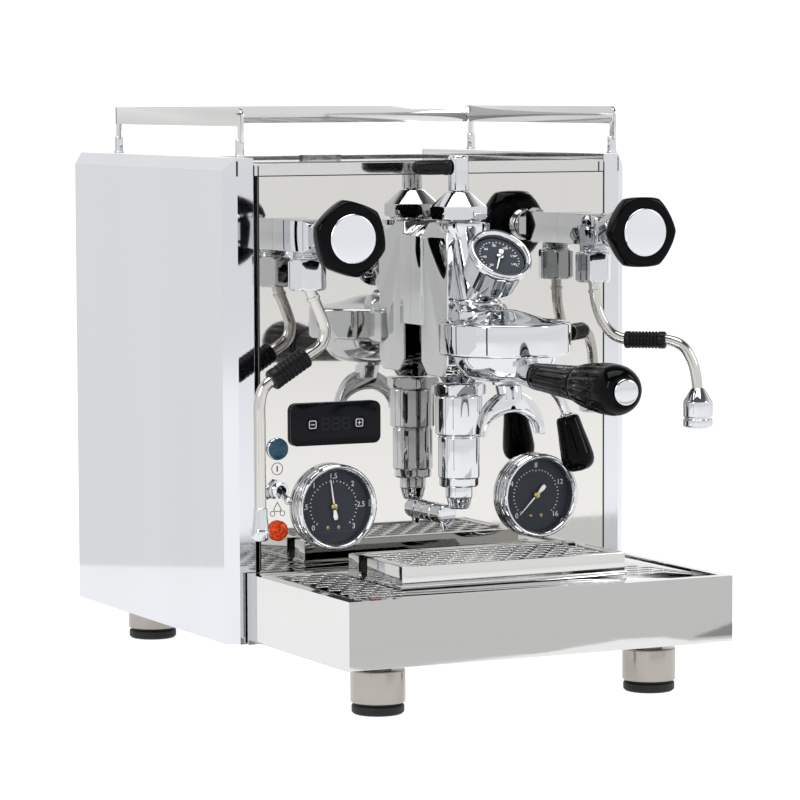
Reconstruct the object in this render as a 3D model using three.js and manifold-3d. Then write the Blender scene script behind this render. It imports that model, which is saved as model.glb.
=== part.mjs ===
// Espresso machine: a two-boiler home machine with a lever-operated brew group.
// Millimetres, +Z up, the front of the machine faces -Y.
import * as THREE from 'three';
import { mergeVertices } from 'three/addons/utils/BufferGeometryUtils.js';
import Module from 'manifold-3d';

const wasm = await Module();
wasm.setup();

// ---------------------------------------------------------------- dimensions
const GAP = 0.3;                 // air between neighbouring pieces
const FACETS = 0.4;              // how finely round pieces are divided, 1 being finest

const BODY_WIDTH = 303;
const BODY_DEPTH = 279;
const BODY_BOTTOM = 31.3;
const BODY_TOP = 353.3;
const SHEET = 1.5;               // sheet metal thickness
const BEVEL = 8;                 // 45 degree bevel along the side panels
const FLANGE_INNER = 132;        // inner edge of the side panels' flanges

const PANEL_FRONT = -3.4;        // face of the front panel
const PANEL_HALF = 130.6;
const PANEL_BOTTOM = 79.3;
const PANEL_TOP = 341;

const RAIL_TOP = 386;
const RAIL_HEIGHT = 12;
const RAIL_X = 140.2;
const RAIL_BACK = 218;

const FOOT_RADIUS = 17.75;
const FOOT_X = 100;
const FOOT_FRONT_Y = -118.5;
const FOOT_REAR_Y = 257;

const TRAY_HALF = 139.6;
const TRAY_FRONT = -159.6;
const TRAY_BACK = -3.7;
const TRAY_BOTTOM = 35.5;
const TRAY_TOP = 78.9;
const GRILLE_TOP = 78;
const STAGE_HALF = 82;
const STAGE_FRONT = -118;
const STAGE_BACK = -38;
const STAGE_TOP = 93;

const GAUGE_X = 76.8;
const GAUGE_Z = 120.4;
const GAUGE_RADIUS = 28.9;
const GAUGE_DIAL = 24.6;
const GAUGE_STAND = 9.2;         // how far a panel gauge stands off the panel

const LAMP_X = -117.6;
const POWER_LAMP_Z = 160.8;
const HEAT_LAMP_Z = 106.4;
const TOGGLE_Z = 133.6;

const SPOUT_X = -4.5;            // the small drain spout under the group

const VALVE_X = 107.2;
const VALVE_Z = 303;
const VALVE_FRONT = -53;
const WAND_Y = -30;
const KNOB_FLATS = 47;
const KNOB_CORNERS = 52.4;
const KNOB_BACK = -82;
const KNOB_FRONT = -100;

const COLUMN_Y = -38;            // axis of the column, top nut and lower chamber
const BELL_Y = -104;             // axis of the bell and the portafilter
const BELL_RADIUS = 43;
const BELL_BOTTOM = 225.8;
const BELL_TOP = 247.3;
const HANDLE_Z = 214.4;
const LEVER_Z = 213;

// ----------------------------------------------------------------- materials
function finish(color, roughness, metalness) {
  return new THREE.MeshStandardMaterial({ color, roughness, metalness });
}
const MIRROR_STEEL = finish(0xdcdedf, 0.12, 1);
const SATIN_STEEL = finish(0xd5d7db, 0.35, 1);
const BRUSHED_STEEL = finish(0xb9ab9d, 0.38, 1);
const CHROME = finish(0xe6e8ea, 0.06, 1);
const BLACK = finish(0x15161a, 0.22, 0);
const SOFT_BLACK = finish(0x1c1d20, 0.6, 0);
const DIAL = finish(0x3a3f47, 0.55, 0);
const NEEDLE = finish(0xf2f2ee, 0.5, 0);
const TEAL = finish(0x134a66, 0.15, 0);
const ORANGE = finish(0xe0561b, 0.2, 0);
const TANK = finish(0xcfd8dc, 0.3, 0);
const COPPER = finish(0xb87333, 0.35, 1);

// ------------------------------------------------------------------- helpers
/** The number of sides a round piece is given. */
function facets(sides) {
  return Math.max(8, 2 * Math.round(sides * FACETS / 2));
}

/** Turns a closed three.js geometry into a solid that can be cut and joined. */
function solid(geometry) {
  const bare = geometry.clone();
  bare.deleteAttribute('normal');
  bare.deleteAttribute('uv');
  const welded = mergeVertices(bare, 1e-4);
  const p = welded.attributes.position;
  const index = welded.index.array;
  const kept = [];
  let volume = 0;
  const a = new THREE.Vector3();
  const b = new THREE.Vector3();
  const c = new THREE.Vector3();
  for (let i = 0; i < index.length; i += 3) {
    const [u, v, w] = [index[i], index[i + 1], index[i + 2]];
    if (u === v || v === w || w === u) continue;
    kept.push([u, v, w]);
    a.fromBufferAttribute(p, u);
    b.fromBufferAttribute(p, v);
    c.fromBufferAttribute(p, w);
    volume += a.dot(b.cross(c));
  }
  const order = kept.map(([u, v, w]) => (volume < 0 ? [u, w, v] : [u, v, w]));
  return new wasm.Manifold(new wasm.Mesh({
    numProp: 3,
    vertProperties: new Float32Array(p.array),
    triVerts: new Uint32Array(order.flat()),
  }));
}

/** A box given by its limits. */
function block(x0, x1, y0, y1, z0, z1) {
  const g = new THREE.BoxGeometry(x1 - x0, y1 - y0, z1 - z0);
  g.translate((x0 + x1) / 2, (y0 + y1) / 2, (z0 + z1) / 2);
  return solid(g);
}

/** A round bar or cone from one point to another. */
function bar(from, to, radius, endRadius = radius, sides = 24) {
  const start = new THREE.Vector3(...from);
  const end = new THREE.Vector3(...to);
  const axis = end.clone().sub(start);
  const g = new THREE.CylinderGeometry(endRadius, radius, axis.length(), facets(sides));
  const turn = new THREE.Quaternion();
  turn.setFromUnitVectors(new THREE.Vector3(0, 1, 0), axis.normalize());
  g.applyQuaternion(turn);
  g.translate((start.x + end.x) / 2, (start.y + end.y) / 2, (start.z + end.z) / 2);
  return solid(g);
}

/** A turned piece about +Z. The profile is a list of [radius, height] from axis to axis. */
function turned(profile, sides = 32) {
  const points = profile.map(([r, z]) => new THREE.Vector2(Math.max(r, 0), z));
  const g = new THREE.LatheGeometry(points, facets(sides));
  g.rotateX(Math.PI / 2);
  return solid(g);
}

/** A turned ring about +Z, whose closed profile doesn't reach the axis. */
function ring(profile, sides = 32) {
  return turned([...profile, profile[0]], sides);
}

/** A straight prism along +Z with the given outline. */
function prism(outline, z0, z1) {
  const shape = new THREE.Shape(outline.map(([x, y]) => new THREE.Vector2(x, y)));
  const g = new THREE.ExtrudeGeometry(shape, { depth: z1 - z0, bevelEnabled: false, curveSegments: 8 });
  g.translate(0, 0, z0);
  return solid(g);
}

/** A prism along Y whose outline is given in X and Z. */
function prismAlongY(outline, y0, y1) {
  return prism(outline, -y1, -y0).rotate([90, 0, 0]);
}

/** The outline of a regular polygon, given its width across flats. */
function polygon(sides, flats, turn = 0) {
  const corner = flats / 2 / Math.cos(Math.PI / sides);
  const points = [];
  for (let i = 0; i < sides; i += 1) {
    const angle = turn + (i + 0.5) * 2 * Math.PI / sides;
    points.push([corner * Math.cos(angle), corner * Math.sin(angle)]);
  }
  return points;
}

/** The outline of an ellipse. */
function ellipse(rx, ry, cx = 0, cy = 0, finest = 28) {
  const sides = facets(finest);
  const points = [];
  for (let i = 0; i < sides; i += 1) {
    const angle = i * 2 * Math.PI / sides;
    points.push([cx + rx * Math.cos(angle), cy + ry * Math.sin(angle)]);
  }
  return points;
}

/** The outline of a rectangle with rounded corners. */
function roundedBox(x0, x1, y0, y1, radius, steps = 3) {
  const points = [];
  const corners = [[x1 - radius, y1 - radius, 0], [x0 + radius, y1 - radius, 1],
    [x0 + radius, y0 + radius, 2], [x1 - radius, y0 + radius, 3]];
  for (const [cx, cy, quarter] of corners) {
    for (let i = 0; i <= steps; i += 1) {
      const angle = (quarter + i / steps) * Math.PI / 2;
      points.push([cx + radius * Math.cos(angle), cy + radius * Math.sin(angle)]);
    }
  }
  return points;
}

/** A round bar along a smooth path through the given points. */
function bentBar(points, radius, steps, sides = 14) {
  const path = new THREE.CatmullRomCurve3(points.map((p) => new THREE.Vector3(...p)), false, 'centripetal');
  const shape = new THREE.Shape(ellipse(radius, radius, 0, 0, sides).map(([x, y]) => new THREE.Vector2(x,
    y)));
  return solid(new THREE.ExtrudeGeometry(shape, { steps, extrudePath: path, bevelEnabled: false }));
}

/** Joins several solids into one. */
function join(...solids) {
  return solids.reduce((sum, next) => sum.add(next));
}

/** Takes several solids away from the first. */
function cut(first, ...tools) {
  return tools.reduce((left, tool) => left.subtract(tool), first);
}

/** The solid that wraps round two or more others. */
function wrap(...solids) {
  return wasm.Manifold.hull(solids);
}

/** Turns a piece made about +Z so that its axis points to the front, -Y. */
function faceFront(piece, x, y, z) {
  return piece.rotate([90, 0, 0]).translate([x, y, z]);
}

const machine = new THREE.Group();
machine.name = 'espresso_machine';

/** Adds one named piece, placed by its own centre. */
function add(name, piece, material) {
  const m = piece.getMesh();
  const g = new THREE.BufferGeometry();
  g.setAttribute('position', new THREE.BufferAttribute(new Float32Array(m.vertProperties), 3));
  g.setIndex(new THREE.BufferAttribute(new Uint32Array(m.triVerts), 1));
  g.computeBoundingBox();
  const centre = g.boundingBox.getCenter(new THREE.Vector3());
  g.translate(-centre.x, -centre.y, -centre.z);
  g.computeVertexNormals();
  const mesh = new THREE.Mesh(g, material);
  mesh.name = name;
  mesh.position.copy(centre);
  machine.add(mesh);
}

// ------------------------------------------------------------------- housing
/** The folded left side panel: side sheet, bevels, and front, back and top flanges. */
function sidePanel() {
  const half = BODY_WIDTH / 2;
  const outerPlan = [[-half, BEVEL], [-half + BEVEL, 0], [-FLANGE_INNER, 0],
    [-FLANGE_INNER, BODY_DEPTH], [-half + BEVEL, BODY_DEPTH], [-half, BODY_DEPTH - BEVEL]];
  const outerFront = [[-half, BODY_BOTTOM], [-FLANGE_INNER, BODY_BOTTOM], [-FLANGE_INNER, BODY_TOP],
    [-half + BEVEL, BODY_TOP], [-half, BODY_TOP - BEVEL]];
  const inset = BEVEL + SHEET * (Math.SQRT2 - 1);
  const open = 4;
  const innerPlan = [[-half + SHEET, inset], [-half + inset, SHEET], [-FLANGE_INNER + open, SHEET],
    [-FLANGE_INNER + open, BODY_DEPTH - SHEET], [-half + inset, BODY_DEPTH - SHEET],
    [-half + SHEET, BODY_DEPTH - inset]];
  const innerFront = [[-half + SHEET, BODY_BOTTOM - open], [-FLANGE_INNER + open, BODY_BOTTOM - open],
    [-FLANGE_INNER + open, BODY_TOP - SHEET], [-half + inset, BODY_TOP - SHEET],
    [-half + SHEET, BODY_TOP - inset]];
  const outer = prism(outerPlan, BODY_BOTTOM, BODY_TOP).intersect(prismAlongY(outerFront, 0, BODY_DEPTH));
  const inner = prism(innerPlan, BODY_BOTTOM - open, BODY_TOP - SHEET)
    .intersect(prismAlongY(innerFront, SHEET, BODY_DEPTH - SHEET));
  const slit = block(-half + BEVEL - 0.6, -half + BEVEL + 0.5, -1, SHEET + 1, BODY_TOP - 12, BODY_TOP - 2);
  return cut(outer, inner, slit);
}
add('left_side_panel', sidePanel(), SATIN_STEEL);
add('right_side_panel', sidePanel().mirror([1, 0, 0]), SATIN_STEEL);

function basePan() {
  const in1 = BODY_WIDTH / 2 - SHEET - GAP;
  const corner = 7.4;
  const front = SHEET + GAP;
  const back = BODY_DEPTH - SHEET - GAP;
  const floor = prism([[-in1, front + corner], [-in1 + corner, front], [in1 - corner, front],
    [in1, front + corner], [in1, back - corner], [in1 - corner, back], [-in1 + corner, back],
    [-in1, back - corner]], BODY_BOTTOM, BODY_BOTTOM + 2);
  const tongue = block(-PANEL_HALF, PANEL_HALF, -137, 4, BODY_BOTTOM, TRAY_BOTTOM - GAP);
  const hollow = block(-PANEL_HALF + 10, PANEL_HALF - 10, -127, -12, BODY_BOTTOM + 1.5, TRAY_BOTTOM + 1);
  const upstand = block(-TRAY_HALF + 0.5, TRAY_HALF - 0.5, PANEL_FRONT, PANEL_FRONT + SHEET, BODY_BOTTOM,
    PANEL_BOTTOM - GAP);
  return join(floor, cut(tongue, hollow), upstand);
}
add('base_pan', basePan(), SATIN_STEEL);

function backPanel() {
  const y0 = BODY_DEPTH - SHEET;
  const sheet = block(-FLANGE_INNER + GAP, FLANGE_INNER - GAP, y0, BODY_DEPTH, BODY_BOTTOM + 3, PANEL_TOP);
  const tools = [];
  for (let row = 0; row < 4; row += 1) {
    for (let column = 0; column < 5; column += 1) {
      const x = -84 + column * 42;
      const z = 200 + row * 14;
      tools.push(block(x - 16, x + 16, y0 - 1, BODY_DEPTH + 1, z - 2.4, z + 2.4));
    }
  }
  tools.push(block(60, 88, y0 - 1, BODY_DEPTH + 1, 60, 81));
  return cut(sheet, ...tools);
}
add('back_panel', backPanel(), SATIN_STEEL);

function mainsInlet() {
  const y0 = BODY_DEPTH - 18;
  const shell = join(block(60.4, 87.6, y0, BODY_DEPTH - 0.4, 60.4, 80.6),
    block(56, 92, BODY_DEPTH + GAP, BODY_DEPTH + 2.5, 56.5, 84.5),
    block(60.4, 87.6, BODY_DEPTH - 1, BODY_DEPTH + 1, 60.4, 80.6));
  const well = block(63, 85, y0 + 3, BODY_DEPTH + 4, 63, 78);
  const pins = [-6, 0, 6].map((dx) => block(73 + dx, 75 + dx, y0 + 1, BODY_DEPTH - 9, 68.5, 72.5));
  return join(cut(shell, well), ...pins);
}
add('mains_inlet', mainsInlet(), SOFT_BLACK);

const DISPLAY = { x0: -108.7, x1: -42.6, z0: 162, z1: 190.5 };

function frontPanel() {
  const back = PANEL_FRONT + SHEET;
  const sheet = block(-PANEL_HALF, PANEL_HALF, PANEL_FRONT, back, PANEL_BOTTOM, PANEL_TOP);
  const left = block(-PANEL_HALF, -PANEL_HALF + SHEET, PANEL_FRONT, 4, PANEL_BOTTOM, PANEL_TOP);
  const right = block(PANEL_HALF - SHEET, PANEL_HALF, PANEL_FRONT, 4, PANEL_BOTTOM, PANEL_TOP);
  const top = block(-PANEL_HALF, PANEL_HALF, PANEL_FRONT, -0.4, PANEL_TOP - SHEET, PANEL_TOP);
  const tools = [];
  const through = (radius, x, z) => tools.push(bar([x, -9, z], [x, 6, z], radius, radius, 32));
  through(GAUGE_DIAL + 2.9, -GAUGE_X, GAUGE_Z);
  through(GAUGE_DIAL + 2.9, GAUGE_X, GAUGE_Z);
  through(5.8, LAMP_X, POWER_LAMP_Z);
  through(5.8, LAMP_X, HEAT_LAMP_Z);
  through(4.3, LAMP_X, TOGGLE_Z);
  through(5.3, SPOUT_X, 113.6);
  for (const side of [-1, 1]) {
    const x = side * VALVE_X;
    tools.push(block(x - 12.9, x + 12.9, -9, 6, VALVE_Z - 10.4, VALVE_Z + 10.4));
  }
  tools.push(block(-18.7, 18.7, -9, 6, 240.6, 300.4));
  tools.push(block(DISPLAY.x0 + 4, DISPLAY.x1 - 4, -9, 6, DISPLAY.z0 + 4, DISPLAY.z1 - 4));
  return cut(join(sheet, left, right, top), ...tools);
}
add('front_panel', frontPanel(), MIRROR_STEEL);

// ----------------------------------------------------- cup tray, rail, tank
const LID = { x: 105, y0: 150, y1: 208 };

/** The cup-warming tray: a shallow pan with slots, a front beam and an opening over the tank. */
function cupTray() {
  const half = FLANGE_INNER - GAP;
  const back = BODY_DEPTH - SHEET - GAP;
  const pan = block(-half, half, 0, back, PANEL_TOP + 0.6, 349.2);
  const dish = block(-half + 7, half - 7, 7, back - 7, 345, 352);
  const under = block(-half + 2, half - 2, 2, back - 2, PANEL_TOP, 343.4);
  const tools = [dish, under];
  for (let row = 0; row < 5; row += 1) {
    for (let column = 0; column < 6; column += 1) {
      const x = -95 + column * 38;
      const y = 28 + row * 25;
      tools.push(block(x - 13, x + 13, y - 2.6, y + 2.6, 340, 348));
    }
  }
  tools.push(block(-LID.x - 0.5, LID.x + 0.5, LID.y0 - 0.5, LID.y1 + 0.5, 340, 352));
  const rim = cut(block(-LID.x - 3, LID.x + 3, LID.y0 - 3, LID.y1 + 3, 344, 347),
    block(-LID.x - 0.5, LID.x + 0.5, LID.y0 - 0.5, LID.y1 + 0.5, 340, 352));
  return join(cut(pan, ...tools), rim);
}
add('cup_tray', cupTray(), MIRROR_STEEL);

function tankLid() {
  const plate = block(-LID.x, LID.x, LID.y0, LID.y1, 345.2, 347.4);
  const skirt = cut(block(-LID.x + 3, LID.x - 3, LID.y0 + 3, LID.y1 - 3, 342.3, 345.5),
    block(-LID.x + 5, LID.x - 5, LID.y0 + 5, LID.y1 - 5, 342, 345.2));
  const grip = prism(roundedBox(-16, 16, 172, 186, 6.8), 347, 351.5);
  return join(plate, skirt, grip);
}
add('tank_lid', tankLid(), SATIN_STEEL);

function waterTank() {
  const outer = block(-LID.x + 1, LID.x - 1, LID.y0 + 1, LID.y1 - 1, 120, 342);
  const inner = block(-LID.x + 4, LID.x - 4, LID.y0 + 4, LID.y1 - 4, 123, 343);
  return cut(outer, inner);
}
add('water_tank', waterTank(), TANK);

function boiler() {
  const shell = bar([-62, 76, 205], [62, 76, 205], 52, 52, 32);
  const bore = bar([-59, 76, 205], [59, 76, 205], 49, 49, 32);
  const port = bar([0, 76, 240], [0, 76, 270], 6, 6, 16);
  const legs = [-44, 44].map((x) => block(x - 4, x + 4, 66, 86, BODY_BOTTOM + 2 + GAP, 160));
  return join(cut(shell, bore, port), ...legs.map((leg) => leg.subtract(bore)));
}
add('boiler', boiler(), COPPER);

/** The cup rail: a flat strip round both sides and the back, on four round posts. */
function cupRail() {
  const z0 = RAIL_TOP - RAIL_HEIGHT;
  const legBottom = 363;
  const corner = 6;
  const outline = [[-1.5, legBottom], [5, legBottom], [5, z0], [RAIL_BACK - 6.5, z0],
    [RAIL_BACK - 6.5, legBottom], [RAIL_BACK, legBottom], [RAIL_BACK, RAIL_TOP]];
  for (let i = 0; i <= 5; i += 1) {
    const angle = Math.PI / 2 * (1 + i / 5);
    outline.push([-1.5 + corner + corner * Math.cos(angle), RAIL_TOP - corner + corner * Math.sin(angle)]);
  }
  const strip = prism(outline, -1, 1).rotate([90, 0, 0]).rotate([0, 0, 90]);
  const back = block(-RAIL_X - 1, RAIL_X + 1, RAIL_BACK - 2, RAIL_BACK, z0, RAIL_TOP);
  const pieces = [back];
  for (const side of [-1, 1]) {
    pieces.push(strip.translate([side * RAIL_X, 0, 0]));
    for (const y of [3.6, RAIL_BACK - 3.3]) {
      pieces.push(bar([side * RAIL_X, y, BODY_TOP + GAP], [side * RAIL_X, y, legBottom + 2], 3, 3, 16));
    }
  }
  return join(...pieces);
}
add('cup_rail', cupRail(), MIRROR_STEEL);

// ---------------------------------------------------------------------- feet
function foot() {
  return turned([[0, 0], [15.6, 0], [17, 1.2], [17, 5.6], [15.4, 6.4], [15.4, 7.4], [FOOT_RADIUS, 7.9],
    [FOOT_RADIUS, 28.4], [16.4, 29.2], [9, 29.2], [9, BODY_BOTTOM - GAP], [0, BODY_BOTTOM - GAP]], 32);
}
for (const [where, y] of [['front', FOOT_FRONT_Y], ['rear', FOOT_REAR_Y]]) {
  add(`${where}_left_foot`, foot().translate([-FOOT_X, y, 0]), BRUSHED_STEEL);
  add(`${where}_right_foot`, foot().translate([FOOT_X, y, 0]), BRUSHED_STEEL);
}

// ------------------------------------------------------------ panel controls
const KEYS = [['minus_key', -93.2], ['plus_key', -58.8]];
const KEY_Z = 176.2;

function display() {
  const { x0, x1, z0, z1 } = DISPLAY;
  const face = prismAlongY(roundedBox(x0, x1, z0, z1, 3.4), PANEL_FRONT - GAP - 3, PANEL_FRONT - GAP);
  const boss = block(x0 + 4.3, x1 - 4.3, PANEL_FRONT - 1, 4, z0 + 4.3, z1 - 4.3);
  const wells = KEYS.map(([, x]) => bar([x, -9, KEY_Z], [x, -4.4, KEY_Z], 4.6, 4.6, 24));
  return cut(join(face, boss), ...wells);
}
add('display', display(), BLACK);

for (const [name, x] of KEYS) {
  const cap = turned([[0, 0], [4.2, 0], [4.2, 1.1], [3.7, 1.5], [0, 1.5]], 24);
  add(name, faceFront(cap, x, -5.6, KEY_Z), BLACK);
}

function lamp(radius, stand, facets) {
  return join(turned([[0, -8], [5.4, -8], [5.4, GAP], [radius, GAP], [radius, stand * 0.45],
    [radius * 0.82, stand * 0.85], [radius * 0.5, stand], [0, stand]], facets));
}
add('power_lamp', faceFront(lamp(7.4, 5, 24), LAMP_X, PANEL_FRONT, POWER_LAMP_Z), TEAL);
add('heat_lamp', faceFront(lamp(7, 5, 12), LAMP_X, PANEL_FRONT, HEAT_LAMP_Z), ORANGE);

function toggleBushing() {
  const body = turned([[0, -10], [3.9, -10], [3.9, GAP], [6.6, GAP], [6.6, 1.2], [5.5, 1.8], [5.5, 6.2],
    [5, 6.8], [0, 6.8]], 24);
  const mouth = turned([[0, 1], [2.6, 1], [3.9, 7.5], [0, 7.5]], 20);
  return body.subtract(mouth);
}
add('toggle_bushing', faceFront(toggleBushing(), LAMP_X, PANEL_FRONT, TOGGLE_Z), CHROME);

function toggleLever() {
  const lever = turned([[0, -1.4], [1.3, -0.9], [1.6, 0.4], [1.5, 6], [2.2, 12], [2.7, 15.2], [2.2, 17.2],
    [0, 18]], 20);
  return lever.rotate([90, 0, 0]).rotate([22, 0, 0]).translate([LAMP_X, PANEL_FRONT - 3.4, TOGGLE_Z]);
}
add('toggle_lever', toggleLever(), CHROME);

// -------------------------------------------------------------------- gauges
/** A panel gauge case about +Z: z = 0 is the panel face, the bezel stands in front. */
function gaugeCase() {
  const r = GAUGE_RADIUS;
  const d = GAUGE_DIAL;
  const s = GAUGE_STAND;
  const outer = turned([[0, -16], [d + 1.3, -16], [d + 1.3, GAP], [r, GAP], [r, 3.4], [r - 0.8, 3.9],
    [r, 4.4], [r, s - 1.8], [r - 1.6, s], [0, s]], 40);
  const well = turned([[0, -0.9], [d + 0.3, -0.9], [d + 0.3, s - 1.6], [d + 1.5, s + 1], [0, s + 1]], 40);
  const spindle = turned([[0, -12], [1.6, -12], [1.6, 3], [0, 3]], 16);
  return cut(outer, well, spindle);
}

function gaugeDial(radius, thickness) {
  return ring([[1.6, 0], [radius, 0], [radius, thickness], [1.6, thickness]], 40);
}

/** A needle with its pivot pin about +Z; at turn = 0 the pointer points up. */
function gaugeNeedle(length, tail, pin, turn) {
  const outline = [[-1.2, -tail], [1.2, -tail], [0.55, 0], [0.25, length], [-0.25, length], [-0.55, 0]];
  const pointer = prism(outline, 0, 0.7);
  const hub = turned([[0, -pin], [1.2, -pin], [1.2, 0], [2.6, 0], [2.6, 1.1], [0, 1.1]], 16);
  return join(pointer, hub).rotate([0, 0, turn]);
}

const PANEL_GAUGES = [['boiler', -GAUGE_X, 8], ['pump', GAUGE_X, 135]];
for (const [name, x, turn] of PANEL_GAUGES) {
  add(`${name}_gauge_case`, faceFront(gaugeCase(), x, PANEL_FRONT, GAUGE_Z), CHROME);
  const dial = gaugeDial(GAUGE_DIAL, 1.2).translate([0, 0, -0.6]);
  add(`${name}_gauge_dial`, faceFront(dial, x, PANEL_FRONT, GAUGE_Z), DIAL);
  const needle = gaugeNeedle(18.5, 9, 4.6, turn).translate([0, 0, 1.8]);
  add(`${name}_gauge_needle`, faceFront(needle, x, PANEL_FRONT, GAUGE_Z), NEEDLE);
}

/** Places a piece made about +Z on the group gauge's axis, tilted 45 degrees to the front. */
const GROUP_GAUGE = [0, -98.6, 291];
function onGroupGauge(piece) {
  return piece.rotate([45, 0, 0]).translate(GROUP_GAUGE);
}

function groupGaugeCase() {
  const outer = turned([[0, -34], [5, -34], [5, -25.9], [8.6, -25.9], [8.6, -24.6], [17, -24.2],
    [18.2, -22.6], [19.3, -4.4], [21.3, -4.4], [21.3, -1.6], [20.8, -1.2], [21.3, -0.8], [21.3, 0.4],
    [20.1, 1.4], [0, 1.4]], 36);
  const well = turned([[0, -4.6], [17.5, -4.6], [17.5, -0.2], [18.6, 2], [0, 2]], 36);
  const spindle = turned([[0, -16], [1.4, -16], [1.4, -3], [0, -3]], 12);
  return cut(outer, well, spindle);
}
add('group_gauge_case', onGroupGauge(groupGaugeCase()), CHROME);
add('group_gauge_dial', onGroupGauge(gaugeDial(16.8, 1).translate([0, 0, -4.3])), DIAL);
add('group_gauge_needle', onGroupGauge(gaugeNeedle(13, 6.5, 4.4, 150).translate([0, 0, -2.2])), NEEDLE);

// -------------------------------------------------------------------- valves
/** The valve block with its packing nut and spindle bush, for the valve at x = 0. */
function valveBody() {
  const bar1 = block(-12.6, 12.6, VALVE_FRONT + 2.5, 6, VALVE_Z - 10, VALVE_Z + 10);
  const nose = block(-10.6, 10.6, VALVE_FRONT - 1.5, VALVE_FRONT + 3, VALVE_Z - 8.2, VALVE_Z + 8.2);
  const packing = prismAlongY(polygon(6, 21, 0).map(([x, z]) => [x, z + VALVE_Z]), -66, VALVE_FRONT);
  const bush = bar([0, -60, VALVE_Z], [0, KNOB_BACK + 1.2, VALVE_Z], 9.2, 11, 28);
  const boss = bar([0, WAND_Y, VALVE_Z - 15.4], [0, WAND_Y, VALVE_Z - 5], 9.6, 9.6, 28);
  const spindle = bar([0, KNOB_BACK + 3, VALVE_Z], [0, KNOB_BACK - 8, VALVE_Z], 3.4, 3.4, 16);
  const port = bar([0, WAND_Y, VALVE_Z - 17], [0, WAND_Y, VALVE_Z - 2], 2.4, 2.4, 16);
  return cut(join(wrap(bar1, nose), packing, bush, boss, spindle), port);
}

/** The six-sided knob: domed behind, chamfered in front, with a recess for its cap. */
function knob(turn) {
  const depth = KNOB_BACK - KNOB_FRONT;
  const r = KNOB_CORNERS / 2;
  const round = turned([[0, 0], [13, 0], [20, 2.6], [r, 8.4], [r, depth - 4.6], [r - 4.6, depth],
    [0, depth]], 48);
  const six = prism(polygon(6, KNOB_FLATS, turn), -1, depth + 1);
  const recess = turned([[0, depth - 1], [16.3, depth - 1], [16.3, depth + 1], [0, depth + 1]], 36);
  const bore = turned([[0, -1], [3.9, -1], [3.9, 9.5], [0, 9.5]], 16);
  return cut(round.intersect(six), recess, bore);
}

function knobCap() {
  return turned([[0, 0], [16, 0], [16, 1.2], [15, 1.8], [0, 2.2]], 36);
}

/** The union nut that holds the wand's ball. */
function unionNut() {
  const hex = prism(polygon(6, 22.6, 0.35), 267, VALVE_Z - 15.4 - GAP)
    .intersect(turned([[0, 266], [11.6, 266], [13.1, 268.4], [13.1, 286], [11.8, 288], [0, 288]], 32));
  const seat = turned([[0, 265], [7.6, 265], [7.6, 269], [8.9, 272], [8.9, 290], [0, 290]], 28);
  return hex.subtract(seat).translate([0, WAND_Y, 0]);
}

function tubeBall() {
  return turned([[0, 269.2], [4, 269.9], [7, 272.8], [8.4, 276.6], [8, 280.5], [6, 283.6], [2.2, 285.4],
    [0, 285.4]], 24).translate([0, WAND_Y, 0]);
}

const STEAM_PATH = [[0, -30, 276], [2.6, -30, 266], [5.8, -30.2, 258], [9.4, -30.5, 249.6],
  [12.2, -30.7, 240], [9.6, -30.8, 231.4], [0.2, -30.8, 224.8], [-12, -30.8, 217.2],
  [-24.6, -30.8, 209.8], [-32, -30.8, 204], [-35, -30.8, 195], [-35.2, -30.8, 180], [-35.2, -30.8, 152],
  [-35, -30.8, 121]];
function steamWand() {
  const tube = bentBar(STEAM_PATH, 3.9, 22);
  const tip = turned([[0, 103.8], [4.2, 103.8], [6.3, 106], [6.3, 110], [4.6, 120.6], [4.6, 125], [3.6, 126],
    [0, 126]], 24).translate([-35, -30.8, 0]);
  const hole = bar([-35, -30.8, 101], [-35, -30.8, 109], 1.1, 1.1, 10);
  return cut(join(tubeBall(), tube, tip), hole);
}

const WATER_PATH = [[0, -30, 276], [0.6, -30.2, 262], [2, -31.4, 250], [5, -33.6, 240.6],
  [10.6, -38.2, 231.6], [18, -44.2, 228], [29, -53.4, 227.8], [40, -62.7, 227.8], [47.6, -69, 223.8],
  [52.4, -73, 214], [54.6, -74.8, 203], [55.4, -75.6, 190]];
function waterWand() {
  const tube = bentBar(WATER_PATH, 3.7, 20);
  const tip = turned([[0, 168.5], [7.8, 168.5], [10.2, 170], [10.2, 174.6], [9.7, 175], [9.7, 176],
    [10.2, 176.4],
    [10.2, 186.6], [9.4, 188], [4.8, 195.4], [3.6, 196], [0, 196]], 28).translate([55.4, -75.6, 0]);
  const hole = bar([55.4, -75.6, 165], [55.4, -75.6, 182], 6.4, 6.4, 20);
  return cut(join(tubeBall(), tube, tip), hole);
}

/** A ribbed grip round a straight stretch of tube. */
function grip(from, to, tubeRadius, gripRadius) {
  const a = new THREE.Vector3(...from);
  const b = new THREE.Vector3(...to);
  const length = a.distanceTo(b);
  const profile = [[tubeRadius, 0], [gripRadius - 0.8, 0], [gripRadius, 1]];
  const ribs = 4;
  const pitch = (length - 10) / ribs;
  for (let i = 0; i < ribs; i += 1) {
    const z = 5 + i * pitch;
    profile.push([gripRadius, z], [gripRadius - 0.7, z + 0.5], [gripRadius - 0.7, z + pitch * 0.4]);
    profile.push([gripRadius, z + pitch * 0.4 + 0.5]);
  }
  profile.push([gripRadius, length - 1], [gripRadius - 0.8, length], [tubeRadius, length]);
  const piece = ring(profile, 20);
  const axis = b.clone().sub(a).normalize();
  const pitchAngle = THREE.MathUtils.radToDeg(Math.acos(axis.z));
  const yaw = THREE.MathUtils.radToDeg(Math.atan2(axis.y, axis.x));
  return piece.rotate([0, pitchAngle, 0]).rotate([0, 0, yaw]).translate(from);
}

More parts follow.
